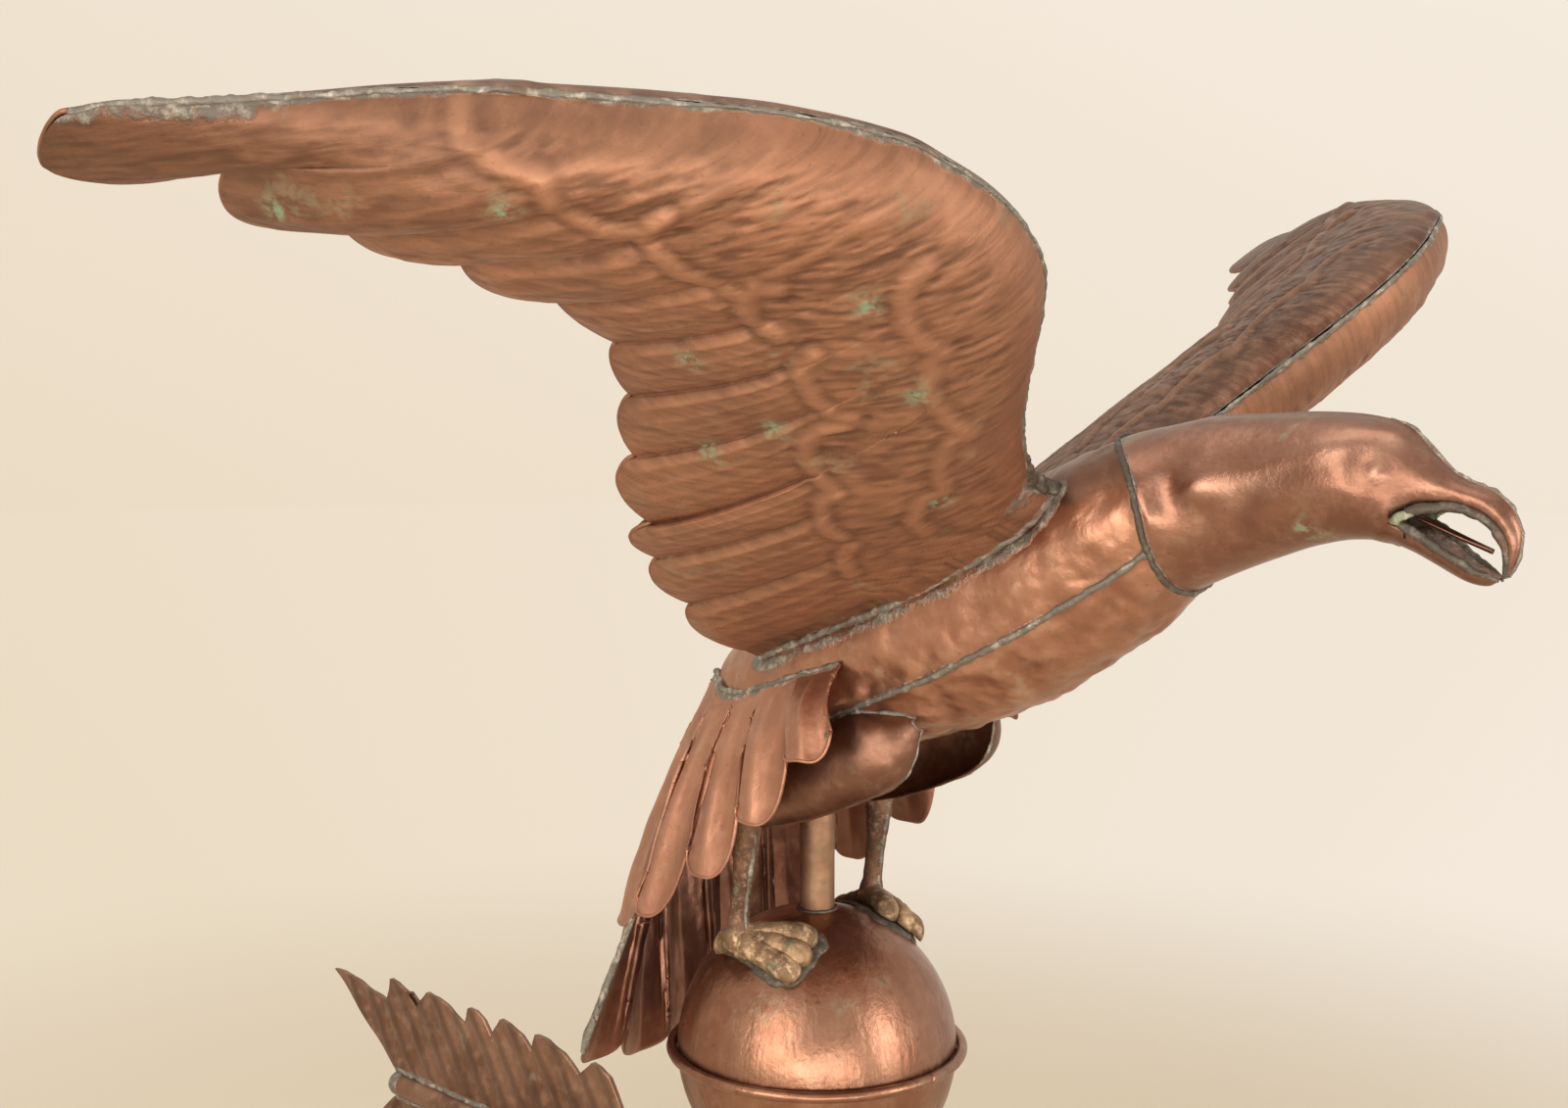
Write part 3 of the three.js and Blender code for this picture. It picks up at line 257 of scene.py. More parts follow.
def copper(name, dark, mid, light, hammer=0.0, hammer_scale=70.0, wrinkle=0.0, green=0.25, rough=0.4, streak=0.0,
           patchy=1.0):
    """Aged sheet copper. Its masks say where it turns grey with solder, green with verdigris, dark with painted shade
    and bright with painted highlight.
    """
    n = Nodes(bpy.data.materials.new(name))
    broad = n.noise(11.0, 5, 0.6, warp=0.4)
    fine = n.noise(95.0, 6, 0.65)
    color = n.mix(n.ramp(broad, 0.5 - 0.16 / patchy, 0.5 + 0.16 / patchy), dark, mid)
    color = n.tint(color, n.ramp(fine, 0.44, 0.72), 0.5 * patchy, light)
    if wrinkle:
        along = n.add("ShaderNodeUVMap").outputs[0]
        barbs = n.noise(1.0, 4, 0.6, place=along, stretch=(0.2, 0.036, 1.0), warp=0.5)
        # The barbs are painted darker in their grooves and lighter on their ridges, painted shade and painted highlight
        # that follow the bumps.
        color = n.tint(color, n.ramp(barbs, 0.52, 0.38), 0.34, scaled(dark, 0.6))
        color = n.tint(color, n.ramp(barbs, 0.52, 0.68), 0.21, light)
    # Painted highlight lightens the colour and painted shade darkens it, where their masks say.
    color = n.tint(color, n.mask("painted_highlight"), 0.65, light, clamp=True)
    color = n.tint(color, n.mask("painted_shade"), 0.75, scaled(dark, 0.42), clamp=True)
    if streak:
        lines = n.noise(26.0, 4, 0.6, stretch=(1.0, 1.0, 0.06))
        color = n.tint(color, n.ramp(lines, 0.42, 0.7), streak, light)
        color = n.tint(color, n.ramp(n.noise(140.0, 3, 0.6), 0.62, 0.75), 0.5, scaled(dark, 0.5))
    pepper = n.ramp(n.noise(420.0, 3, 0.6), 0.62, 0.74)
    color = n.tint(color, pepper, 0.35, scaled(dark, 0.45))
    patch = n.ramp(n.noise(30.0, 2, 0.5), 0.63, 0.7)
    grain = n.ramp(n.noise(190.0, 5, 0.7), 0.42, 0.58)
    verdigris = n.times(n.times(patch, grain), green)
    verdigris = n.plus(verdigris, n.times(n.mask("green"), grain), clamp=True)
    color = n.mix(verdigris, color, GREEN)
    ragged = n.times(n.math("SUBTRACT", n.noise(120.0, 5, 0.7), 0.5), 0.6)
    solder = n.ramp(n.plus(n.mask("solder"), ragged), 0.42, 0.6)
    color = n.mix(solder, color, n.mix(n.ramp(n.noise(160.0, 5, 0.7), 0.46, 0.7), SOLDER, SOLDER_PALE))
    roughness = n.plus(rough - 0.1, n.times(n.noise(60.0, 4, 0.6), 0.2))
    roughness = n.plus(roughness, n.times(n.plus(solder, verdigris), 0.2), clamp=True)
    dulled = n.times(n.plus(n.times(solder, 0.35), verdigris), 0.8)
    metal = n.math("SUBTRACT", 0.92, dulled, clamp=True)
    height = n.times(n.noise(260.0, 5, 0.6), 0.00025)
    if streak:
        height = n.plus(height, n.times(n.noise(170.0, 3, 0.6, stretch=(1.0, 1.0, 0.03)), 0.0004))
    if hammer:
        dents = n.made("ShaderNodeTexVoronoi", {"Vector": n.place, "Scale": hammer_scale, "Smoothness": 0.8},
                       "Distance", feature="SMOOTH_F1")
        soft = n.noise(hammer_scale * 0.7, 3, 0.5, warp=0.3)
        height = n.plus(height, n.times(n.plus(dents, soft), hammer * 0.001))
    if wrinkle:
        height = n.plus(height, n.times(barbs, wrinkle * 0.001))
    height = n.plus(height, n.times(n.times(n.noise(210.0, 4, 0.6), solder), 0.0016))
    return n.surface(color, roughness, metal, height, coat=0.06)


def solder_metal(name, grey=SOLDER, pale=SOLDER_PALE):
    n = Nodes(bpy.data.materials.new(name))
    color = n.mix(n.ramp(n.noise(140.0, 6, 0.7), 0.48, 0.7), grey, pale)
    color = n.tint(color, n.ramp(n.noise(55.0, 4, 0.6), 0.55, 0.7), 0.7, (0.15, 0.085, 0.055))
    color = n.tint(color, n.ramp(n.noise(75.0, 4, 0.6), 0.6, 0.7), 0.25, GREEN)
    rough = n.plus(0.42, n.times(n.noise(90.0, 3), 0.25))
    return n.surface(color, rough, 0.55, n.times(n.noise(230.0, 5, 0.65), 0.0012))


def cast_metal(name, dark, mid, light):
    n = Nodes(bpy.data.materials.new(name))
    color = n.mix(n.ramp(n.noise(48.0, 5, 0.65), 0.38, 0.62), dark, mid)
    color = n.tint(color, n.ramp(n.noise(210.0, 5, 0.65), 0.48, 0.68), 0.8, light)
    color = n.tint(color, n.ramp(n.noise(90.0, 4, 0.6), 0.6, 0.68), 0.55, GREEN)
    # Painted shade darkens the colour where its mask says.
    color = n.tint(color, n.mask("painted_shade"), 0.8, scaled(dark, 0.3), clamp=True)
    rough = n.plus(0.42, n.times(n.noise(120.0, 3), 0.25))
    return n.surface(color, rough, 0.6, n.times(n.noise(240.0, 6, 0.65), 0.0013))


def iron(name):
    n = Nodes(bpy.data.materials.new(name))
    color = n.mix(n.ramp(n.noise(60.0, 6, 0.7), 0.4, 0.66), (0.035, 0.03, 0.028), (0.12, 0.07, 0.045))
    rough = n.plus(0.45, n.times(n.noise(90.0, 3), 0.25))
    return n.surface(color, rough, 0.7, n.times(n.noise(300.0, 5, 0.65), 0.001))


FEATHER = copper("feather_copper", (0.25, 0.126, 0.078), (0.37, 0.178, 0.105), (0.52, 0.268, 0.158), hammer=0.3,
                 hammer_scale=95, wrinkle=0.4, rough=0.6, patchy=0.65)
COVERT = copper("covert_copper", (0.3, 0.14, 0.092), (0.5, 0.245, 0.155), (0.72, 0.4, 0.27), hammer=0.3,
                hammer_scale=95, wrinkle=0.7, rough=0.5, patchy=0.7)
UPPER = copper("upper_copper", (0.11, 0.052, 0.033), (0.2, 0.1, 0.063), (0.4, 0.23, 0.155), hammer=0.5,
               hammer_scale=95, wrinkle=0.9, rough=0.47, patchy=0.8)
BODY = copper("body_copper", (0.29, 0.128, 0.078), (0.45, 0.227, 0.144), (0.66, 0.41, 0.29), hammer=1.3,
              hammer_scale=62, rough=0.38, patchy=0.6)
HEAD = copper("head_copper", (0.175, 0.081, 0.053), (0.31, 0.153, 0.101), (0.5, 0.305, 0.22), hammer=0.15,
              hammer_scale=40, green=0.8, rough=0.34, patchy=0.6)
TAIL = copper("tail_copper", (0.19, 0.088, 0.06), (0.36, 0.172, 0.118), (0.46, 0.265, 0.19), hammer=0.4,
              hammer_scale=60, green=0.4)
THIGH = copper("thigh_copper", (0.14, 0.064, 0.04), (0.23, 0.115, 0.074), (0.42, 0.26, 0.18), hammer=0.5,
               hammer_scale=60, rough=0.44, patchy=0.7)
SPUN = copper("spun_copper", (0.2, 0.084, 0.049), (0.29, 0.131, 0.076), (0.43, 0.255, 0.175), green=0.25, rough=0.31,
              streak=0.35, patchy=0.7)
ARROW = copper("arrow_copper", (0.15, 0.075, 0.048), (0.29, 0.16, 0.105), (0.46, 0.29, 0.2), hammer=0.6,
               hammer_scale=60)
# Nearly black, for a sheet of painted shade in the throat.
THROAT_SHADE = copper("throat_painted_shade", (0.03, 0.02, 0.014), (0.06, 0.04, 0.028), (0.1, 0.07, 0.05), rough=0.6)
TUBE = copper("tube_copper", (0.13, 0.068, 0.04), (0.33, 0.195, 0.115), (0.46, 0.29, 0.175), rough=0.56, patchy=0.8)
BEAD = solder_metal("lead_solder")
BLOT = solder_metal("green_solder", (0.24, 0.25, 0.17), (0.55, 0.56, 0.42))
PATCH = solder_metal("stained_solder", (0.09, 0.072, 0.055), (0.23, 0.2, 0.16))
CAST = cast_metal("cast_feet", (0.2, 0.122, 0.068), (0.46, 0.3, 0.168), (0.76, 0.55, 0.335))
LEG = cast_metal("cast_legs", (0.1, 0.052, 0.032), (0.22, 0.12, 0.072), (0.36, 0.22, 0.14))
IRON = iron("wrought_iron")


# Pieces

def new_piece(name, corners, faces, material, masks, uv=None, replaces=(), slot="sheet_copper"):
    """A mesh on the vane, with its masks, material and the nodes that it stands for. The slot is not used."""
    mesh = bpy.data.meshes.new(name)
    mesh.from_pydata((corners * MM + UP * (BALL_HEIGHT * MM)).tolist(), [], faces)
    for key, values in masks.items():
        mesh.attributes.new(key, "FLOAT", "POINT").data.foreach_set("value", values.astype(np.float32))
    if uv is not None:
        index = np.zeros(len(mesh.loops), np.int32)
        mesh.loops.foreach_get("vertex_index", index)
        layer = mesh.uv_layers.new(name="UVMap")
        layer.data.foreach_set("uv", uv.astype(np.float32).reshape(-1, 2)[index].ravel())
    mesh.polygons.foreach_set("use_smooth", [True] * len(mesh.polygons))
    mesh.update()
    piece = bpy.data.objects.new(name, mesh)
    bpy.context.scene.collection.objects.link(piece)
    mesh.materials.append(material)
    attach(piece, "vane")
    if replaces:
        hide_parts(*replaces)
    return piece


def sheet(name, p, material, outward, wrap=False, thickness=0.0, caps=(), masks=None, **more):
    """A grid of points as a skin, with the side that outward points to on the outside."""
    rows, columns = p.shape[:2]
    flip = bool(np.sum(normals(p, wrap) * outward) < 0)
    i = np.arange(rows - 1)[:, None] * columns
    j = np.arange(columns if wrap else columns - 1)
    k = (j + 1) % columns
    a, b, c, d = i + j, i + columns + j, i + columns + k, i + k
    faces = points(*((a, d, c, b) if flip else (a, b, c, d))).reshape(-1, 4).tolist()
    corners = p.reshape(-1, 3)
    masks = {key: np.broadcast_to(v, (rows, columns)).ravel() for key, v in (masks or {}).items()}
    for end in caps:
        ring = np.arange(columns) + (rows - 1) * columns * end
        middle = len(corners)
        corners = np.vstack([corners, corners[ring].mean(axis=0)])
        masks = {key: np.append(v, v[ring].mean()) for key, v in masks.items()}
        pairs = zip(ring.tolist(), np.roll(ring, -1).tolist())
        faces += [[j, k, middle] if (end == 0) != flip else [k, j, middle] for j, k in pairs]
    piece = new_piece(name, corners, faces, material, masks, **more)
    if thickness:
        solid = piece.modifiers.new("wall", "SOLIDIFY")
        solid.thickness = thickness * MM
        solid.offset = -1


def rope(name, path, radius, sides, seed, lump, material=BEAD, slot="solder", **more):
    """A lumpy bead of solder or a rim along a line of points. A list for the radius has rows of (share, radius)."""
    path = np.asarray(path, float)
    if isinstance(radius, list):
        radius = np.interp(np.linspace(0, 1, len(path)), *zip(*radius))
    radius = np.broadcast_to(np.asarray(radius, float), len(path))[:, None]
    ahead = np.gradient(path, axis=0)
    ahead /= np.linalg.norm(ahead, axis=1, keepdims=True)
    side = np.cross(ahead, UP)
    side /= np.maximum(np.linalg.norm(side, axis=1, keepdims=True), 1e-6)
    angle = round_angles(sides)[:, None]
    ring = side[:, None] * np.cos(angle) + np.cross(side, ahead)[:, None] * np.sin(angle)
    size = radius * (1 + lump * lumps(path[:, None] + ring * radius[..., None] * 2, 5.0, seed)
                     + lump * 0.6 * lumps(path[:, None] + ring, 2.2, seed + 4))
    p = path[:, None] + ring * size[..., None]
    sheet(name, p, material, ring, wrap=True, caps=(0, 1), slot=slot, **more)


def turned(name, profile, material, sides=96, **more):
    """A revolved outline of (radius, height) points round the upright axis."""
    radius, height = np.array(profile, float).T[..., None]
    p = circle(radius, round_angles(sides), height)
    sheet(name, p, material, p - UP * height.mean(), wrap=True, **more)


# Body

BODY_LENGTH, BODY_DEPTH, BODY_WIDTH = 312.0, 100.0, 95.0
BACK = [(0, 0.77), (0.06, 0.8), (0.15, 0.83), (0.3, 0.93), (0.5, 1), (0.75, 1), (0.88, 0.9), (0.96, 0.66), (1, 0.34)]
BELLY = [(0, 0.77), (0.06, 0.91), (0.15, 1.02), (0.25, 1.09), (0.4, 1.08), (0.55, 0.96), (0.7, 0.78),
         (0.85, 0.56), (0.95, 0.38), (1, 0.2)]
FLANK = [(0, 0.79), (0.06, 0.87), (0.15, 0.95), (0.27, 1), (0.55, 1), (0.72, 0.9), (0.86, 0.74), (0.95, 0.52),
         (1, 0.26)]
SIDE_SEAM = math.radians(30)


def body_point(station, angle, grow=0.0):
    """A point of the body's skin: share of its length from the neck, and angle round it."""
    up = np.sin(angle)
    rise = np.where(up > 0, smooth(BACK, station), smooth(BELLY, station)) * BODY_DEPTH / 2 + grow
    flank = smooth(FLANK, station) * BODY_WIDTH / 2 + grow
    sweep = np.maximum(0, 1 - station / 0.25) * 13.0 * np.cos(angle) ** 2 * (1 + 0.6 * up)
    return points(sweep - station * BODY_LENGTH, flank * np.cos(angle), rise * up)


def on_body(station, angle, grow=0.0):
    return pitched(body_point(station, angle, grow))


def body_axis(p):
    """The nearest point on the body's middle line, for finding which way is out."""
    d = np.array([math.cos(BODY_PITCH), 0, math.sin(BODY_PITCH)])
    t = np.clip((p - RING) @ d, -0.93 * BODY_LENGTH, -0.05 * BODY_LENGTH)
    return RING + t[..., None] * d


def outside_body(p):
    """About how far points are outside the body's plain skin."""
    d = p - RING
    c, s = math.cos(BODY_PITCH), math.sin(BODY_PITCH)
    x, z = c * d[..., 0] + s * d[..., 2], c * d[..., 2] - s * d[..., 0]
    station = np.clip(-x / BODY_LENGTH, 0, 1)
    rise = np.where(z > 0, smooth(BACK, station), smooth(BELLY, station)) * BODY_DEPTH / 2
    flank = smooth(FLANK, station) * BODY_WIDTH / 2
    return (np.hypot(d[..., 1] / flank, z / rise) - 1) * np.minimum(rise, flank)


def body_shell(name, start, end, steps):
    s, a = np.linspace(0, 1, 210)[:, None], np.linspace(start, end, steps)[None]
    p = on_body(s, a)
    out = p - body_axis(p)
    belly = ease(0.15, -0.5, np.sin(a))
    dents = 0.9 * lumps(p, 21, 3) + 0.5 * lumps(p, 9, 5) + belly * (1.0 * lumps(p, 12, 8) + 0.6 * lumps(p, 6, 9))
    dents = dents - 0.3 * np.abs(lumps(p, 13, 11))
    from_seam = np.minimum(np.abs(a - start), np.abs(end - a))
    p = raised(p, dents * ease(0, 0.02, s) * ease(0, 0.05, from_seam / 3.0), out)
    seam = from_seam * BODY_WIDTH / 2
    root = np.where(np.sin(a) > -0.2, line_gap(np.where([False, True, False], np.abs(p), p), ROOT_LINE), 60.0)
    solder = np.maximum.reduce([0.6 * bell(seam, 3.4) + 0.5 * bell(s * BODY_LENGTH, 2.6), 0.6 * bell(root, 3.2),
                                (0.56 + 0.16 * lumps(p, 14, 6)) * bell(root - 5, 6.0)])
    # The top near the neck is darker. Painted shade lies round the wing root, in the dents and beside the side seams;
    # painted highlight lies on the raised dents.
    dark_top = 1.1 * ease(0.2, 0.55, np.sin(a)) * ease(0.5, 0.25, s)
    painted_shade = 0.6 * bell(root, 8) + 0.3 * ease(0.2, -1.2, dents) + 0.3 * bell(seam, 4) + dark_top
    sheet(name, p, BODY, out, replaces=[f"{name}_shell"],
          masks={"solder": solder, "painted_shade": painted_shade, "painted_highlight": 0.45 * ease(0.2, 1.5, dents)})


# Wings: places out from the root and back, in shares of length and chord

WING_LENGTH, WING_CHORD, DIHEDRAL = 420.0, 209.0, math.radians(27)
WING_SIZE = np.array([WING_LENGTH, WING_CHORD])
WING_AT = (174.0, 48.0, 316.0)
UNDER_BULGE, UPPER_BULGE = 33.0, 16.0
TIP_ROUND = 5.0
SKIN_RISE = 1.15
LEADING = [(0, 0), (0.083, 0.141), (0.143, 0.281), (0.19, 0.396), (0.225, 0.472), (0.26, 0.521), (0.3, 0.555),
           (0.345, 0.572), (0.39, 0.572), (0.44, 0.563), (0.533, 0.482), (0.6, 0.394), (0.667, 0.297), (0.731, 0.205),
           (0.793, 0.095), (0.85, -0.022), (0.9, -0.122), (0.935, -0.19), (0.97, -0.255), (1, -0.325)]
# Each flight feather's start on the leading edge, its notch behind (out, back) and how round its end is
FLIGHT = np.array([
    (0.996, 0.979, 0.47, 0), (0.7, 0.86, 0.202, 0.056), (0.59, 0.751, 0.248, 0.146), (0.505, 0.65, 0.172, 0.064),
    (0.435, 0.546, 0.172, 0.063), (0.38, 0.466, 0.203, 0.014), (0.335, 0.405, 0.321, 0.023),
    (0.29, 0.339, 0.488, 0.032), (0.24, 0.245, 0.673, 0.06), (0.18, 0.2, 0.783, 0.063), (0.1, 0.109, 0.896, 0.051),
    (0, -0.007, 0.99, 0.057)])
FEATHERS = len(FLIGHT) - 1
# Verdigris spots on the near wing, out and back in mm
VERDIGRIS = [(341, 51), (288, -23), (162, -71), (181, 11), (112, -45), (134, 16), (137, 55), (44, 12)]
# Round ends of the coverts over the flight feathers
COVERT_ENDS = [
    [(0.755, -0.163), (0.748, -0.158), (0.743, -0.153), (0.726, -0.158), (0.707, -0.172), (0.681, -0.201)],
    [(0.681, -0.201), (0.671, -0.187), (0.655, -0.167), (0.633, -0.172), (0.612, -0.177), (0.586, -0.22)],
    [(0.581, -0.273), (0.583, -0.22), (0.569, -0.191), (0.55, -0.187), (0.531, -0.182), (0.5, -0.191),
     (0.464, -0.191)],
    [(0.452, -0.254), (0.467, -0.23), (0.464, -0.196), (0.45, -0.163), (0.431, -0.144), (0.412, -0.158)],
    [(0.374, -0.172), (0.371, -0.139), (0.369, -0.115), (0.36, -0.105), (0.326, -0.067), (0.302, -0.0622),
     (0.288, -0.0813)],
    [(0.286, -0.0526), (0.295, -0.00478), (0.288, 0.0526), (0.269, 0.0957), (0.245, 0.124), (0.221, 0.134)],
    [(0.212, 0.139), (0.21, 0.187), (0.188, 0.239), (0.162, 0.273), (0.143, 0.278)],
    [(0.117, 0.301), (0.114, 0.335), (0.1, 0.373), (0.0667, 0.421)]]
COVERT_SIDES = [
    [(0.679, -0.206), (0.64, -0.306), (0.598, -0.392)], [(0.583, -0.249), (0.564, -0.359), (0.54, -0.455)],
    [(0.474, -0.239), (0.452, -0.445), (0.4, -0.569)], [(0.293, -0.0144), (0.271, -0.0861), (0.245, -0.148)],
    [(0.374, -0.172), (0.348, -0.239), (0.319, -0.297)], [(0.212, 0.139), (0.186, 0.067), (0.157, 0.00957)],
    [(0.755, -0.163), (0.714, -0.268), (0.676, -0.354)]]
INNER_ENDS = [
    [(0.369, -0.459), (0.374, -0.421), (0.364, -0.388), (0.343, -0.349), (0.314, -0.325), (0.29, -0.321)],
    [(0.286, -0.325), (0.29, -0.301), (0.271, -0.254), (0.252, -0.22), (0.214, -0.187), (0.171, -0.167)],
    [(0.171, -0.167), (0.186, -0.144), (0.176, -0.0909), (0.148, -0.0239), (0.117, 0.0191)],
    [(0.117, 0.0191), (0.131, 0.0574), (0.105, 0.144), (0.0667, 0.182)]]


def flight_columns(c):
    """Where the wing's columns start in front and end behind, at places c counted in feathers."""
    k = np.clip(np.floor(c).astype(int), 0, FEATHERS - 1)
    q = c - k
    a, b = FLIGHT[k], FLIGHT[k + 1]
    share = a[:, 0] + (b[:, 0] - a[:, 0]) * q
    lead = points(share * WING_LENGTH, -smooth(LEADING, share) * WING_CHORD)
    lead[:, 0] -= 0.6 * TIP_ROUND * ease(0.12, 0.0, c)
    start, end = a[:, 1:3] * WING_SIZE, b[:, 1:3] * WING_SIZE
    away = points(end[:, 1] - start[:, 1], start[:, 0] - end[:, 0])
    away /= np.linalg.norm(away, axis=-1, keepdims=True)
    puff = b[:, 3] * WING_CHORD * np.sin(np.pi * np.clip(q, 0, 1) ** 0.85).clip(0) ** 0.7
    return lead, start + (end - start) * q[:, None] + away * puff[:, None], q


def wing_place(u, v, height, side):
    """From the wing's plane, in mm out, back and up, to the eagle's own frame."""
    c, s = math.cos(DIHEDRAL), math.sin(DIHEDRAL)
    return pitched(points(-v, side * (u * c - height * s), u * s + height * c), np.array(WING_AT) * (1, side, 1))


def wing_grid():
    """Columns and rows of the grid, place across each feather, its front, its chord and the points in the plane."""
    steps = [55] + [34] * (FEATHERS - 1)
    c = np.concatenate([np.linspace(k, k + 1, count + 1)[:-1] for k, count in enumerate(steps)] + [[FEATHERS]])
    lead, rear, q = flight_columns(c)
    t = np.linspace(0, 1, 170)
    t = 0.75 * t + 0.25 * (1 - np.cos(np.pi * t)) / 2
    plane = lead[None] + (rear - lead)[None] * t[:, None, None]
    plane[..., 0] += TIP_ROUND * np.sqrt(1 - (2 * t - 1) ** 2)[:, None] * ease(0.12, 0.0, c)[None]
    return c, t, q, lead, np.linalg.norm(rear - lead, axis=-1), plane


COLUMN, ROW, ACROSS, FRONT, CHORD, PLANE = wing_grid()


def covert_level(distance):
    """Share of the chord where each column runs out of the coverts' round ends."""
    near = distance.min(axis=0) < 9.0
    level = np.interp(COLUMN, COLUMN[near], ROW[distance.argmin(axis=0)][near])
    return np.convolve(np.pad(level, 12, mode="edge"), np.full(25, 1 / 25), mode="valid")


def wing_relief():
    """Chased feathers on the skin: height over the plain form, and the painted shade and painted highlight of each
    place.
    """
    u, v, q, t = PLANE[..., 0], PLANE[..., 1], ACROSS, ROW[:, None]
    ends, inner_ends, sides = (np.minimum.reduce([line_gap(PLANE, np.array(line) * WING_SIZE) for line in lines])
                               for lines in (COVERT_ENDS, INNER_ENDS, COVERT_SIDES))
    flight = ease(-0.02, 0.08, t - covert_level(ends))
    calm = 0.3 + 0.7 * ease(0.4, 3.2, COLUMN)
    notch = bell(np.minimum(q, 1 - q), 0.04)
    shaft = calm * bell(q - 0.16, 0.06) * flight * ease(1.0, 0.88, t)
    ribs = bell(q - 0.42, 0.035) + 0.8 * bell(q - 0.62, 0.03) + 0.6 * bell(q - 0.8, 0.03)
    ribs = calm * ribs * flight * ease(1.0, 0.9, t)
    height = flight * calm * (1.9 * np.sin(np.pi * q) - 0.9 * notch) + 1.2 * shaft + 0.6 * ribs + 1.4 * (1 - flight)
    rim = np.maximum(bell(ends, 3.4), 0.9 * bell(inner_ends, 3.4))
    side = bell(sides, 2.8)
    pit = np.maximum(bell(ends - 6, 2.6), 0.8 * bell(inner_ends - 6, 2.6))
    height = height + 1.25 * rim + 0.8 * side - 0.6 * pit
    across, along = u - 0.7 * v, v + 0.3 * u
    barbs = 0.7 * flat_lumps(across / 1.8, along / 7.0, 3) + 0.5 * flat_lumps(across / 3.0, along / 9.0, 5)
    front = ease(0.02, 0.1, t) * (1 - rim) * (1 - side)
    height = height + 0.5 * front * barbs * (1 - 0.6 * flight) + 0.5 * flat_lumps(u / 26, v / 26, 12)
    # Painted shade in the notches between feathers, in the barb grooves and in the pits beside the covert ends; painted
    # highlight on the rims, sides, shafts, ribs and barb ridges.
    painted_shade = 0.5 * calm * flight * notch + 0.6 * ease(-0.05, 0.6, -barbs) * front * (1 - 0.5 * flight) + 0.35 * pit
    painted_highlight = 0.42 * ease(0.05, 0.8, barbs) * front * (1 - 0.4 * flight)
    painted_highlight = 0.55 * rim + 0.45 * side + 0.8 * shaft + 0.45 * ribs + painted_highlight
    return height, np.clip(painted_shade, 0, 1) * (1 - rim), np.clip(painted_highlight, 0, 1)


def wing_form(bulge):
    """The plain rounded form of a skin over the seam plane."""
    width = ease(0, WING_CHORD, CHORD)
    root = 0.5 + 0.5 * ease(0, WING_LENGTH / 5, FRONT[:, 0])
    return bulge * width * root * np.sqrt(ROW)[:, None] * (1 - ROW)[:, None] / 0.385


RELIEF = wing_relief()


def wing_shell(side, word, under):
    relief, painted_shade, painted_highlight = RELIEF
    hold = (np.minimum(1, (1 - ROW) * 16) * ease(0, 0.1 if under else 0.22, ROW))[:, None] * ease(0, 90, CHORD)
    height = wing_form(UNDER_BULGE if under else UPPER_BULGE) + relief * hold
    for joint, reach, share in ((1, 17, 1.0), (2, 9, 0.6), (7, 7, 0.6), (8, 7, 0.6)):
        wide = np.pad(height, ((0, 0), (reach, reach)), mode="edge")
        calm = sum(wide[:, k:k + len(COLUMN)] for k in range(2 * reach + 1)) / (2 * reach + 1)
        height = height + (calm - height) * (share * bell(COLUMN - joint, 0.012 * reach))
    inward = np.linspace(0, 26, 9)[1:]
    widen = lambda m: np.concatenate([m, np.repeat(m[:, -1:], len(inward), axis=1)], axis=1)
    plane, height, painted_shade, painted_highlight = widen(PLANE), widen(height + SKIN_RISE), widen(painted_shade), widen(painted_highlight)
    plane[:, -len(inward):, 0] -= inward
    u, v, up = plane[..., 0], plane[..., 1], -1 if under else 1
    p = wing_place(u, v, up * height, side)
    out = wing_place(u, v, up * (height + 10), side) - p
    edge = ROW[:, None] * np.pad(CHORD, (0, len(inward)), mode="edge")
    root = outside_body(p)
    share = u / WING_LENGTH
    strip = 0.5 + 0.6 * flat_lumps(u / 17, 0 * edge, 4) + 1.6 * ease(0.8, 0.9, share) + 1.4 * bell(share, 0.08)
    solder = np.maximum.reduce([
        0.62 * bell(edge, np.maximum(strip, 0.3)), 0.6 * bell(root, 2.6), 0.42 * bell(root, 5.5),
        0.56 * bell(u, 13.0) * bell(edge, 30.0), 0.54 * bell(edge - 2, 9.0) * ease(0.8, 0.88, share)])
    # Painted shade dulls the under skin towards the tip and along its front, less on the upper skin; painted light
    # brightens the under skin towards the root; painted shade lies in a band along the root where the wing meets the
    # body.
    painted_shade = painted_shade + (0.46 * ease(0.66, 0.84, share) + 0.2 * bell(edge, 45.0)) * (1 if under else 0.3)
    painted_highlight = painted_highlight + 0.16 * ease(0.5, 0.1, share) * under
    painted_shade = np.maximum(painted_shade, 0.5 * bell(root, 9) * (1 - bell(root, 3)))
    green = sum(bell(np.hypot(u - spot_u, v - spot_v), 5.5) for spot_u, spot_v in VERDIGRIS) * (under and side < 0)
    name = f"{word}_wing_{'under' if under else 'upper'}"
    sheet(name, p, FEATHER if under else UPPER, out, uv=points(u - 0.7 * v, v + 0.3 * u), replaces=[f"{name}_shell"],
          masks={"solder": solder, "painted_shade": painted_shade, "painted_highlight": painted_highlight, "green": green})


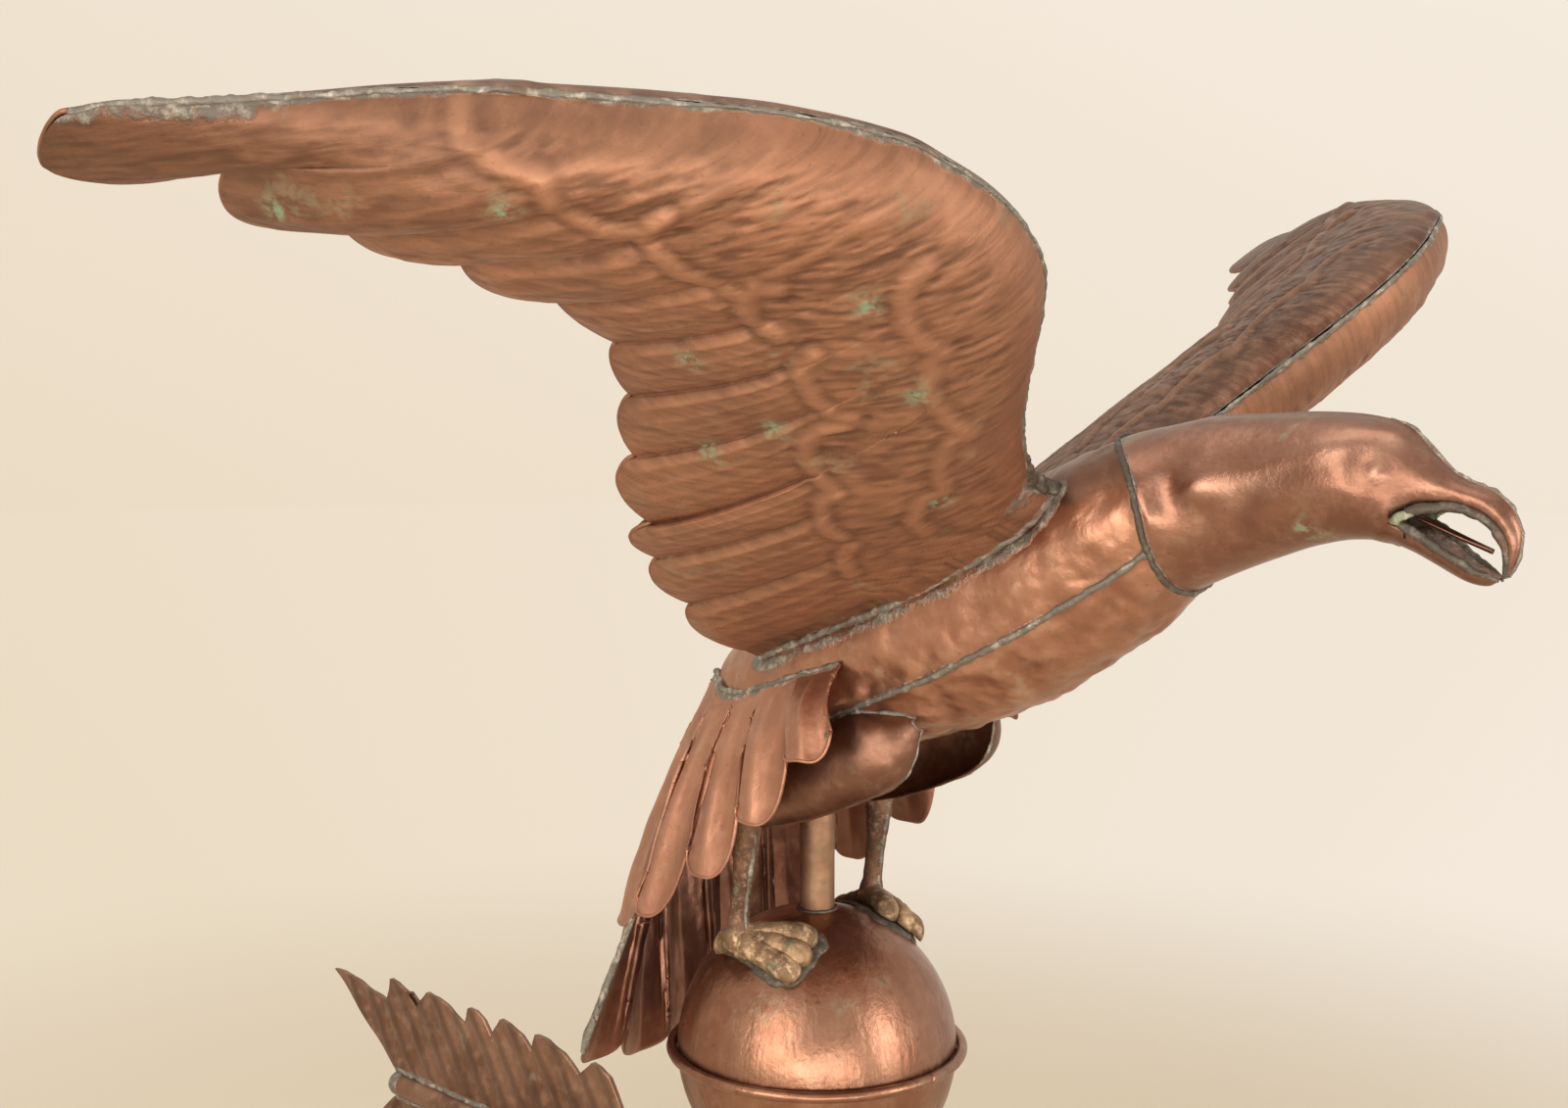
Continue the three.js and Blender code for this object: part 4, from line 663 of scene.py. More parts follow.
def wing_edges(side, word):
    """Solder along the leading edge, and the thin rim behind."""
    lead, rear, _ = flight_columns(np.linspace(0, FEATHERS, 420))
    inward = np.linspace(16, -26, 40)
    front = np.interp(inward, [0, 16], [lead[-1, 1], -smooth(LEADING, 16 / WING_LENGTH) * WING_CHORD])
    corner = wing_place(inward, front, 0.0, side)
    rope(f"{word}_wing_corner_solder", corner, [(0, 1.0), (16 / 42, 3.6), (1, 3.4)], 16, 6, 0.7, PATCH)
    path = resample(wing_place(lead[:, 0], lead[:, 1], -0.4, side), 420)
    rope(f"{word}_wing_front_solder", path, [(0, 1.5), (0.3, 1.5), (0.45, 1.0), (1, 0.95)], 10, 3 + side, 0.5)
    rim = np.vstack([PLANE[::6, 0], rear])
    rim = wing_place(rim[:, 0], rim[:, 1], 0.0, side)
    rope(f"{word}_wing_rear_rim", rim, 1.15, 6, 9, 0.05, FEATHER, "sheet_copper")


def root_points(up, bulge):
    """Where a wing skin's root meets the body, on the left side."""
    line = []
    for v, rise in list(zip(PLANE[:, -1, 1], wing_form(bulge)[:, -1] + 1.2))[::4]:
        p = wing_place(np.linspace(2, -26, 57), v, up * rise, 1)
        inside = np.nonzero(outside_body(p) < 0)[0]
        if len(inside):
            line.append(p[inside[0]])
    return np.array(line)


ROOTS = (("under", root_points(-1, UNDER_BULGE), 2.1), ("upper", root_points(1, UPPER_BULGE), 1.6))
ROOT_LINE = ROOTS[0][1][::3]

for side, word in SIDES:
    wing_shell(side, word, True)
    wing_shell(side, word, False)
    wing_edges(side, word)
    for kind, line, radius in ROOTS:
        rope(f"{word}_wing_root_solder_{kind}", resample(line * (1, side, 1), 160), radius, 14, 20 + side, 0.45)

body_shell("back", -SIDE_SEAM, math.pi + SIDE_SEAM, 300)
body_shell("breast", -SIDE_SEAM, SIDE_SEAM - math.pi, 190)
for side, word in SIDES:
    seam_angle = -SIDE_SEAM if side > 0 else SIDE_SEAM - math.pi
    rope(f"side_seam_{word}", on_body(np.linspace(0.004, 0.985, 240), seam_angle), 1.65, 10, 31 + side, 0.35)
neck = on_body(0.001, np.linspace(0, 2 * np.pi, 240), 0.4)
rope("neck_solder", neck, 1.5, 12, 41, 0.3, PATCH, replaces=["neck_ring"])


# Head: rows of top and underside ahead and up, and half width, as shares of its length from the neck ring

HEAD_LENGTH = 165.0
HEAD_ROWS = [
    (0.12, 0.262, 0.2, -0.165, 0.188), (0.2, 0.27, 0.28, -0.13, 0.172), (0.3, 0.275, 0.37, -0.095, 0.158),
    (0.42, 0.28, 0.46, -0.062, 0.152), (0.53, 0.28, 0.55, -0.042, 0.15), (0.62, 0.274, 0.63, -0.036, 0.138),
    (0.655, 0.267, 0.66, -0.04, 0.126), (0.684, 0.261, 0.686, -0.043, 0.117), (0.7, 0.256, 0.7, -0.045, 0.111),
    (0.722, 0.243, 0.728, 0.03, 0.103), (0.77, 0.2, 0.78, 0.05, 0.084),
    (0.81, 0.148, 0.83, 0.057, 0.066), (0.87, 0.12, 0.875, 0.052, 0.055), (0.93, 0.097, 0.915, 0.034, 0.046),
    (0.975, 0.058, 0.945, 0.006, 0.038), (1, 0.0, 0.963, -0.03, 0.03), (0.995, -0.055, 0.966, -0.07, 0.021),
    (0.97, -0.108, 0.958, -0.11, 0.01)]
UPPER_RIDGE = [(0.23, 0.09), (0.3, 0.097), (0.394, 0.122), (0.471, 0.163), (0.555, 0.193), (0.673, 0.213),
               (0.72, 0.205)]
LOWER_RIDGE = [(0.375, 0.015), (0.384, 0.029), (0.407, 0.058), (0.446, 0.071), (0.508, 0.091), (0.58, 0.107)]
NECK_VALLEY = [(0.34, 0.0), (0.36, 0.035), (0.406, 0.094), (0.483, 0.132), (0.559, 0.149), (0.633, 0.171)]
# Low rounds and hollows of eye, brow, cheek and neck: height in mm, place ahead and up, size in mm
BUMPS = [(2.6, 0.688, 0.138, 4.6), (-1.6, 0.722, 0.116, 6.0), (-0.9, 0.66, 0.165, 7.0), (0.8, 0.66, 0.09, 11.0),
         (1.3, 0.201, 0.085, 8.0), (-0.9, 0.15, 0.1, 8.0), (1.2, 0.091, 0.01, 7.0), (-0.8, 0.125, 0.045, 8.0),
         (-1.2, 0.235, 0.02, 7.5), (1.0, 0.3, -0.02, 9.0)]
MOUTH_TOP = [(0.728, 0.022, 0.094), (0.75, 0.042, 0.089), (0.78, 0.054, 0.08), (0.83, 0.06, 0.063),
             (0.875, 0.056, 0.052), (0.915, 0.04, 0.044), (0.947, 0.012, 0.036), (0.967, -0.026, 0.028),
             (0.97, -0.068, 0.019), (0.962, -0.105, 0.009)]
MOUTH_LOW = [(0.728, 0.018, 0.094), (0.76, 0.0, 0.082), (0.8, -0.027, 0.073), (0.85, -0.061, 0.06),
             (0.9, -0.09, 0.045), (0.94, -0.108, 0.026), (0.95, -0.115, 0.012)]
JAW_ROWS = [(0.62, 0.02, 0.6, -0.03, 0.075), (0.68, 0.022, 0.66, -0.04, 0.084), (0.7237, 0.0135, 0.7035, -0.046, 0.09),
            (0.79, -0.018, 0.775, -0.075, 0.076), (0.85, -0.058, 0.835, -0.106, 0.061),
            (0.9, -0.085, 0.885, -0.127, 0.046), (0.935, -0.1, 0.92, -0.13, 0.028),
            (0.948, -0.108, 0.938, -0.122, 0.012)]
CREST = [(0.66, 0.268), (0.7, 0.257), (0.722, 0.245), (0.77, 0.202), (0.81, 0.15), (0.87, 0.122), (0.93, 0.099),
         (0.975, 0.06), (1.0, 0.0), (0.996, -0.055), (0.972, -0.105)]
TONGUE = [(0.748, 0.03), (0.77, 0.022), (0.81, 0.006), (0.86, -0.014), (0.93, -0.04)]


def from_ring(rows, count):
    """An even line through points given ahead, aside and up in shares of the head's length."""
    return resample(RING + np.array(rows) * HEAD_LENGTH, count)


def head():
    angle = round_angles(168)
    up, level = np.sin(angle), np.cos(angle)
    rows = [pitched(body_point(0.0, angle) + (1.0, 0, 0), at=0)]
    for top_x, top_z, low_x, low_z, half in HEAD_ROWS:
        top, low = np.array([top_x, top_z]) * HEAD_LENGTH, np.array([low_x, low_z]) * HEAD_LENGTH
        line = (top + low) / 2 + (top - low) / 2 * up[:, None]
        square = np.where(up < 0, 0.4 if top_x > 0.71 else 1.0, 1.0)
        rows.append(points(line[:, 0], half * HEAD_LENGTH * np.sign(level) * np.abs(level) ** square, line[:, 1]))
    rows = np.array(rows)
    step = np.linalg.norm(np.diff(rows, axis=0), axis=-1).mean(axis=1)
    at = np.r_[0, np.cumsum(step)] / step.sum()
    jaw_corner = at[8:11]
    fine = np.unique(np.r_[np.linspace(0, 1, 190), jaw_corner, jaw_corner[1:].mean()])
    grid = np.stack([np.stack([smooth(np.c_[at, rows[:, j, k]], fine) for k in range(3)], axis=-1)
                     for j in range(len(angle))], axis=1)
    share = grid[..., 0] / HEAD_LENGTH
    cheek = (ease(0.56, 0.66, share) * ease(0.88, 0.78, share) * ease(-0.3, 0.15, up))[..., None]
    for _ in range(3):
        wide = np.pad(grid, ((6, 6), (0, 0), (0, 0)), mode="edge")
        grid = grid + (sum(wide[k:k + len(grid)] for k in range(13)) / 13 - grid) * cheek
    out = grid - grid.mean(axis=1, keepdims=True)
    share, flat = grid[..., 0] / HEAD_LENGTH, grid[..., (0, 2)]
    bump = lambda x, z, size: bell(np.linalg.norm(flat - np.array([x, z]) * HEAD_LENGTH, axis=-1), size)
    upper, lower, valley, lip = (line_gap(flat, np.array(line) * HEAD_LENGTH) for line in (
        UPPER_RIDGE, LOWER_RIDGE, NECK_VALLEY, [row[:2] for row in MOUTH_TOP]))
    side = ease(0.25, 0.7, np.abs(level))
    relief = 1.7 * bell(upper, 10.0) + 1.2 * bell(lower, 8.0) - 1.0 * bell(valley, 8.0)
    relief = relief + sum(height * bump(x, z, size) for height, x, z, size in BUMPS)
    relief = relief * side + 0.4 * lumps(grid, 21, 14)
    relief = relief * (0.25 + 0.75 * ease(0.74, 0.6, share)) * ease(0, 0.025, fine)[:, None]
    crown = bell(grid[..., 1], 1.5) * (up > 0)
    p = raised(grid, relief, out, wrap=True) + UP * (0.75 * crown * ease(0.1, 0.2, share))[..., None]
    solder = np.maximum.reduce([
        0.6 * bell(grid[..., 1], 2.0) * (up > 0) * ease(0.66, 0.74, share), 0.46 * crown,
        0.66 * bell(lip, 1.9) * ease(0.7, 0.735, share), 0.55 * bell(fine * step.sum(), 2.5)[:, None] + 0 * crown])
    # Painted highlight along the upper ridge and on the eye; painted shade in the neck valley and a painted shadow
    # below the eye; the top towards the neck is darker.
    painted_highlight = 0.4 * bell(upper, 5) * side + 0.5 * bump(0.688, 0.138, 3.5)
    painted_shade = 0.4 * bell(valley, 5) * side + 0.3 * bump(0.714, 0.112, 4)
    painted_shade = painted_shade + 0.4 * ease(0.75, 1.0, up) * ease(0.75, 0.6, share)
    sheet("head", p + RING, HEAD, out, wrap=True, caps=(1,), masks={"solder": solder, "painted_shade": painted_shade, "painted_highlight": painted_highlight},
          replaces=["head_right_shell", "head_left_shell"])


def jaw():
    angle = round_angles(96)
    up = np.sin(angle)
    top_x, top_z, low_x, low_z, half = curve_rows(JAW_ROWS, np.linspace(0, 1, 90)).T[..., None]
    share = (np.where(up > 0, 0.12 * up - 0.22 * up ** 4, up) + 1) / 1.12
    p = points(low_x + (top_x - low_x) * share, half * np.cos(angle), low_z + (top_z - low_z) * share) * HEAD_LENGTH
    out = p - p.mean(axis=1, keepdims=True)
    p = raised(p, 0.3 * lumps(p, 9, 22), out, wrap=True)
    sheet("lower_jaw_piece", p + RING, HEAD, out, wrap=True, caps=(0, 1), replaces=["lower_jaw"],
          masks={"solder": 0.5 * ease(0.02, 0.3, up) * ease(0.7, 0.74, top_x)})


def mouth():
    """Tongue, a dark sheet of painted shade in the throat, and the solder round the mouth and on the beak's crest."""
    across = np.linspace(-1, 1, 9)
    half = np.interp(np.linspace(0, 1, 60), [0, 0.5, 1], [0.02, 0.014, 0.004]) * HEAD_LENGTH
    tongue = from_ring([(x, 0, z) for x, z in TONGUE], 60)[:, None]
    tongue = tongue + points(0, half[:, None] * across, -1.2 * (1 - across**2))
    sheet("tongue_strip", tongue, HEAD, UP, thickness=1.0, replaces=["tongue"])
    for side, word in SIDES:
        for kind, line in (("top", MOUTH_TOP), ("low", MOUTH_LOW)):
            path = from_ring([(x, side * y, z) for x, z, y in line], 110)
            rope(f"mouth_{kind}_{word}", path, [(0, 1.5), (0.15, 2.1), (0.75, 1.8), (1, 0.7)], 12, 50, 0.25, PATCH)
    k, z = np.linspace(-1, 1, 13), np.array([[-0.02], [0.02], [0.06]])
    # A dark sheet at the back of the mouth, painted shade in the throat.
    throat = RING + points(0.748 - 0.02 * np.cos(k * np.pi / 2), 0.086 * k, z) * HEAD_LENGTH
    sheet("throat_shade_sheet", throat, THROAT_SHADE, np.array([1.0, 0, 0]), thickness=0.8)
    for side, word in SIDES:
        blot = from_ring([(0.715, side * 0.102, 0.02), (0.738, side * 0.1, 0.03), (0.768, side * 0.09, 0.044)], 24)
        rope(f"mouth_corner_{word}", blot, 1.8 * np.sin(np.linspace(0.3, 2.8, 24)) + 0.3, 14, 57, 0.45, BLOT)
    crest = from_ring([(x, 0, z) for x, z in CREST], 160)
    rope("beak_crest", crest, [(0, 0.6), (0.15, 0.95), (0.8, 0.95), (1, 0.6)], 10, 54, 0.5)


head()
jaw()
mouth()


# Tail coverts and tail: seam rows are (share of the body, share of a turn), the others are ahead, aside and up

RUMP = RING - np.array([math.cos(BODY_PITCH), 0, math.sin(BODY_PITCH)]) * BODY_LENGTH
COVERT_SIZE, TAIL_SIZE = (140.0, 80.0), (215.0, 88.0)
COVERT_SEAM = [(0.55, -0.006), (0.64, 0.01), (0.73, 0.022), (0.81, 0.04), (0.87, 0.07), (0.91, 0.14), (0.945, 0.19),
               (0.965, 0.25)]
COVERT_NOTCHES = [(1.014, 0.9, 0.243), (0.843, 0.975, 0.143), (0.6, 0.975, -0.079), (0.343, 0.975, -0.271),
                  (0.1, 0.95, -0.414), (-0.157, 0.65, -0.52), (-0.371, 0.25, -0.57)]
COVERT_TIPS = [(0.943, 1.01, 0.121), (0.7, 1, -0.136), (0.45, 1, -0.371), (0.129, 1, -0.579), (-0.129, 0.8, -0.686),
               (-0.33, 0.43, -0.743), (-0.414, 0, -0.77)]
TAIL_NOTCHES = [(-0.116, 1, -0.712), (-0.13, 0.66, -0.765), (-0.15, 0.22, -0.79)]
TAIL_TIPS = [(-0.12, 0.9, -0.802), (-0.142, 0.45, -0.828), (-0.158, 0, -0.84)]
FLUTE, SWELL = 4.0, 4.5
STEPS = 26
FIRST_TAIL_FEATHER = 4


def both_sides(rows, turn, middle_shared):
    """Rows turned into points from the right side's front round the middle to the left side's front."""
    right, left = [turn(row, -1) for row in rows], [turn(row, 1) for row in rows][::-1]
    return np.array(right + (left[1:] if middle_shared else left))


def hem_columns(notches, tips, size):
    """Columns across the feathers, closest at the notches, and the round-ended hem that they run to."""
    turn = lambda row, side: RUMP + np.array([row[0] * size[0], side * row[1] * size[1], row[2] * size[0]])
    notches, tips = both_sides(notches, turn, False), both_sides(tips, turn, True)
    place, hem = [], []
    for k, tip in enumerate(tips):
        a, b = notches[k], notches[k + 1]
        for step in range(0 if k == 0 else 1, STEPS + 1):
            q = 0.5 - 0.5 * math.cos(math.pi * step / STEPS)
            place.append(k + q)
            fall = (1 - abs(2 * q - 1) ** 2.6) ** 0.385
            point = a + (b - a) * q + (tip - (a + b) / 2) * fall
            near = a if q < 0.5 else b
            point[2] = near[2] + (tip[2] - near[2]) * fall
            hem.append(point)
    return np.array(place), np.array(hem)


def tail_out(p):
    return points(p[..., 0] - WING_AT[0], p[..., 1] * 4, 0)


def covert_skin(t):
    """Plain fluted skin of the coverts at shares t from the seam to the hem."""
    def on_seam(row, side):
        angle = row[1] * 2 * math.pi
        return on_body(row[0], angle if side > 0 else math.pi - angle, 1.3)
    place, hem = hem_columns(COVERT_NOTCHES, COVERT_TIPS, COVERT_SIZE)
    seam = curve_rows(both_sides(COVERT_SEAM, on_seam, True), place / place[-1])
    t = t[:, None]
    plain = seam + (hem - seam) * t[..., None]
    arch = np.sin(np.pi * (place % 1.0))
    rise = FLUTE * (0.4 * arch + 0.6 * arch ** 2) * (0.85 * ease(0, 0.75, t) + 0.15 * np.minimum(1, t / 0.33))
    return raised(plain, rise + SWELL * np.sin(np.pi * t), tail_out(plain)), place


def feather_sheet(p, q, t, seed):
    """Shaft, parted edges and fine barbs along fluted feathers, with the masks that go with them."""
    t = t[:, None]
    length = np.linalg.norm(np.diff(p, axis=0), axis=-1).sum(axis=0) * t
    across = np.cumsum(np.r_[0, np.linalg.norm(np.diff(p[len(p) // 2], axis=0), axis=-1)])
    valley = bell(np.minimum(q, 1 - q), 0.035)
    shaft = bell(q - 0.5, 0.08)
    full = ease(0.06, 0.18, t)
    barbs = flat_lumps(across / 1.6, length / 9.0, seed) * 0.3 + flat_lumps(across / 4.0, length / 18.0, seed + 2) * 0.5
    height = full * (0.7 * shaft - 0.5 * valley + 0.5 * barbs) + 0.7 * lumps(p, 22, seed)
    # Painted shade in the valleys between feathers and in the barb grooves; painted highlight on the shafts and barb
    # ridges.
    painted_shade = np.clip(full * (0.6 * valley * ease(0.4, 0.95, t) + 0.25 * ease(0.1, 0.8, -barbs)), 0, 1)
    painted_highlight = np.clip(full * (0.4 * shaft + 0.3 * ease(0.2, 0.9, barbs)), 0, 1)
    return height, {"painted_shade": painted_shade, "painted_highlight": painted_highlight}


def coverts():
    t = np.linspace(0, 1, 110)
    p, place = covert_skin(t)
    height, masks = feather_sheet(p, place % 1.0, t, 61)
    out = tail_out(p)
    p = raised(p, height * np.minimum(1, (1 - t) * 14)[:, None], out)
    hem = np.maximum(0.4 * bell((1 - t) * 120, 2.5), 0.66 * bell(t * 110, 8.0))[:, None]
    masks["solder"] = np.maximum(hem, 0.44 * bell(np.minimum(place, place[-1] - place) * 20, 2.4))
    sheet("tail_covert_sheet", p, COVERT, out, thickness=1.1, masks=masks, replaces=["tail_coverts"])
    rope("covert_seam", p[0], 1.6, 12, 71, 0.45)
    rope("covert_edge_right", p[:, 0], 0.6, 8, 72, 0.3, COVERT)
    rope("covert_edge_left", p[:, -1], 0.6, 8, 73, 0.3, COVERT)
    rope("covert_hem", p[-1], 0.85, 6, 74, 0.1, COVERT, "sheet_copper")


def tail():
    """The fan starts inside the coverts' lower feathers, drawn in from their skin, and runs to its own hem."""
    inner, _ = covert_skin(np.array([0.33, 0.5, 0.62, 0.72]))
    place, hem = hem_columns(TAIL_NOTCHES, TAIL_TIPS, TAIL_SIZE)
    drawn_in = 1.7 + np.array([0.0, 1.5, 2.6, 3.5])[:, None]
    seat = raised(inner, -drawn_in * np.ones(inner.shape[1]), tail_out(inner))
    seat = seat[:, FIRST_TAIL_FEATHER * STEPS:][:, :len(place)]
    t = np.linspace(0, 1, 120)
    plain = seat[-1] + (hem - seat[-1]) * t[:, None, None]
    rise = np.sin(np.pi * (place % 1.0)) * ((5.0 - 4.0 * (1 - t)) * np.minimum(1, t * 8))[:, None]
    p = np.concatenate([seat[:-1], raised(plain, rise, tail_out(plain))])
    whole = np.r_[np.linspace(-0.4, -0.1, 3), t]
    height, masks = feather_sheet(p, place % 1.0, np.clip(whole + 0.4, 0, 2), 81)
    out = tail_out(p)
    p = raised(p, height * np.minimum(1, (1 - whole) * 16)[:, None] * 0.9, out)
    masks["solder"] = np.maximum(0.64 * bell(np.minimum(place, place[-1] - place) * 26, 4.0),
                                 0.45 * bell((1 - whole) * 115, 2.5)[:, None])
    sheet("tail_sheet", p, TAIL, out, thickness=1.2, masks=masks, replaces=["tail_fan"], slot="tail_copper")
    rope("tail_edge_right", p[2:, 0], 1.1, 8, 84, 0.35)
    rope("tail_edge_left", p[2:, -1], 1.1, 8, 84, 0.35)
    rope("tail_hem", p[-1], 0.9, 6, 86, 0.1, TAIL, "tail_copper")


coverts()
tail()


# Thighs, legs and feet

BALL = 76.0
FOOT_APART = 92.0
HOCK = 126.0
PAD = 2.4
ANKLE = np.array([-14.0, 0, PAD + 17 * 0.45])
THIGH_LENGTH, THIGH_WIDTH, THIGH_DEPTH, THIGH_PITCH = 122.0, 18.0, 21.0, math.radians(31)
LEG_RADIUS, TOE_LENGTH, TOE_THICK, ANKLE_RADIUS = 7.5, 40.0, 15.6, 8.6
PAD_SIZE = (62.0, 20.0)
THIGH_ROWS = [(0.848, 0.547, 0.15, 0.2), (0.766, 0.48, 0.7, 0.72), (0.649, 0.418, 1, 1), (0.446, 0.308, 0.98, 0.98),
              (0.274, 0.208, 0.8, 0.84), (0.131, 0.118, 0.55, 0.62), (0.039, 0.052, 0.3, 0.4)]
LEG_ROWS = [(0.02, 0, 0.95), (0.155, 0.02, 0.8), (0.22, 0.1, 0.7), (0.5, 0.5, 0.7), (0.72, 0.75, 0.8),
            (0.85, 0.9, 0.95), (1.0, 0.96, 1.05), (1.12, 1, 1.08)]
TOE_ROWS = [(-0.14, 0.86, 0.3), (-0.06, 0.9, 0.7), (0.08, 0.88, 0.92), (0.24, 0.8, 0.96), (0.36, 0.7, 0.97),
            (0.48, 0.61, 0.93), (0.58, 0.54, 0.95), (0.7, 0.47, 0.9), (0.8, 0.42, 0.93), (0.9, 0.37, 0.88),
            (0.97, 0.32, 0.68), (1.01, 0.28, 0.36)]
PAD_OUTLINE = np.array([(-0.5, 0.1), (-0.47, 0.4), (-0.3, 0.6), (0, 0.82), (0.25, 1), (0.42, 0.9), (0.5, 0.4),
                        (0.505, 0.1)])
PAD_ROWS = ((0.0, PAD), (0.35, PAD), (0.7, PAD), (0.9, PAD - 0.2), (0.97, 1.7), (1.0, 1.0), (1.02, 0.2), (1.02, -1.0))


def thigh(side, word):
    """A sheet bent over the outer side only, open toward the other thigh."""
    share = np.linspace(0, 1, 120)
    rows = curve_rows(THIGH_ROWS, share)
    middles = points(-8 + rows[:, 0] * THIGH_LENGTH, side * (FOOT_APART / 2 - 16 * (1 - share)),
                     HOCK + rows[:, 1] * THIGH_LENGTH)
    up = np.array([-math.sin(THIGH_PITCH), 0, math.cos(THIGH_PITCH)])
    angle = np.radians(np.linspace(-100, 100, 90))
    top = len(angle) // 2
    p = (middles[:, None] + np.array([0, side, 0]) * (rows[:, 3, None] * THIGH_WIDTH * np.cos(angle))[..., None]
         + up * (rows[:, 2, None] * THIGH_DEPTH * np.sin(angle))[..., None])
    out = p - middles[:, None]
    p = raised(p, 0.6 * lumps(p, 15, 91) + 0.2 * lumps(p, 7, 92), out)
    gap = outside_body(p)
    rim = np.linspace(0, 60, len(angle)) + 40 * share[:, None]
    solder = np.maximum(np.maximum(0.6 * bell(gap, 2.2), 0.55 * bell(rim, 1.6)), 0.6 * ease(0.96, 1, share)[:, None])
    painted_shade = 0.5 * bell(gap, 7) + 0.2 * ease(0.2, -1, lumps(p, 13, 91))
    sheet(f"{word}_thigh_shell", p, THIGH, out, thickness=1.1, masks={"solder": solder, "painted_shade": painted_shade},
          replaces=[f"{word}_thigh"])
    low = 34
    edge = np.vstack([p[low::-1, 0], p[0, 1:-1], p[:30, -1]])
    rope(f"{word}_thigh_rim", resample(edge, 200), 0.8, 10, 93, 0.6)
    rope(f"{word}_thigh_hem", resample(p[low:, 0], 120), 0.7, 8, 96, 0.2, THIGH, "sheet_copper")
    seam = []
    for row, away in zip(p, gap):
        over = np.nonzero((away[top:-1] > 0) & (away[top + 1:] <= 0))[0]
        if len(over):
            seam.append(row[top + over[0]])
    rope(f"{word}_thigh_solder", resample(seam, 140), 1.5, 12, 94, 0.5)
    blob = resample(middles[-1] + [(-5, side * 3, 2), (1, side * 5, -1), (7, side * 5, 1)], 30)
    rope(f"{word}_hock_solder", blob, 3.4 * np.sin(np.linspace(0.25, 2.9, 30)) + 0.6, 18, 95, 0.5)


def foot_frame(side):
    """The foot's axes, ahead, aside and out from the ball, and the place on the ball that it stands on."""
    aside = side * FOOT_APART / 2
    out = np.array([6.0, aside, math.sqrt(BALL**2 - aside**2 - 36.0)])
    out /= np.linalg.norm(out)
    ahead = np.array([1.0, 0, 0]) - out * out[0]
    ahead /= np.linalg.norm(ahead)
    return np.stack([ahead, np.cross(out, ahead), out]), out * BALL


def on_foot(p, side):
    axes, at = foot_frame(side)
    return p @ axes + at


def ball_fall(p):
    """How far the ball falls away below the foot's frame."""
    return BALL - np.sqrt(BALL**2 - p[..., 0]**2 - p[..., 1]**2)


def foot_piece(name, p, material, out, side, amount, slot="cast_metal", lowest=None, **more):
    """A closed grid in the foot's frame, with lumps added, kept above the solder pad and set on the ball."""
    p = raised(p, amount, out, wrap=True)
    if lowest is not None:
        p[..., 2] = np.maximum(p[..., 2], lowest - ball_fall(p))
    sheet(name, on_foot(p, side), material, out @ foot_frame(side)[0], wrap=True, slot=slot, **more)


def toe(name, side, turn, length, thick, seed, wide=1.0, low=1.0, **more):
    rows = curve_rows(TOE_ROWS, np.linspace(0, 1, 90))
    angle = round_angles(36)
    along = rows[:, 0] * length
    middle = points(ANKLE[0] + along * math.cos(turn), along * math.sin(turn), 0 * along)
    middle[:, 2] = PAD + low * rows[:, 1] * thick / 2 - ball_fall(middle)
    radius = rows[:, 2, None] * thick / 2
    aside = wide * radius * np.cos(angle)
    out = points(-math.sin(turn) * aside, math.cos(turn) * aside, low * radius * np.sin(angle))
    p = middle[:, None] + out
    knuckle = 0.16 * np.sin(np.linspace(0, 8.5 * np.pi, 90))[:, None] * np.maximum(0, np.sin(angle))
    # Painted shade on the toe's underside and between the knuckles.
    painted_shade = np.clip(0.7 * ease(0.5, -0.1, np.sin(angle)) + 0.25 * ease(0.2, -0.6, knuckle), 0, 1)
    foot_piece(name, p, CAST, out, side, 0.3 * lumps(p, 6, seed) + 0.15 * lumps(p, 2.4, seed + 7) + knuckle,
               lowest=PAD + 0.4, caps=(0, 1), masks={"painted_shade": painted_shade}, **more)


def foot(side, word):
    for k, turn in enumerate((-8, 10, 30)):
        toe(f"{word}_toe_{k + 1}", side, -side * math.radians(turn), TOE_LENGTH, TOE_THICK, 101 + k,
            replaces=[f"{word}_foot"] if k == 0 else ())
    toe(f"{word}_toe_hind", side, math.pi, TOE_LENGTH / 2, 15.2, 105)
    toe(f"{word}_toe_web", side, -side * math.radians(11), 27.0, 15.0, 106, wide=1.5, low=0.72)
    angle, lift = round_angles(48), np.linspace(-0.5, 0.5, 24)[:, None] * np.pi
    ball = circle(np.cos(lift), angle, np.sin(lift)) * ANKLE_RADIUS
    foot_piece(f"{word}_ankle", ball + ANKLE, CAST, ball, side, 0.5 * lumps(ball, 6, 108), lowest=PAD + 0.4)
    half = curve_rows(PAD_OUTLINE, np.linspace(0, 1, 60))
    middle = np.array([-5.0, -side * 7.0])
    loop = np.vstack([half, (half * (1, -1))[::-1], half[:1]]) * PAD_SIZE + middle
    loop = resample(loop, 161)[:-1]
    loop = (loop - middle) * (1 + 0.05 * flat_lumps(loop[:, 0] / 6, loop[:, 1] / 6, 9))[:, None]
    share, rise = np.array(PAD_ROWS).T[..., None]
    pad = points(middle[0] + loop[:, 0] * share, middle[1] + loop[:, 1] * share, rise)
    pad[..., 2] -= ball_fall(pad)
    rough = 0.3 * lumps(pad, 5, 111) * np.linspace(0, 1, len(pad))[:, None]
    foot_piece(f"{word}_foot_solder", pad, PATCH, pad - np.array([*middle, -12.0]), side, rough, "solder",
               replaces=[f"{word}_foot_base"])


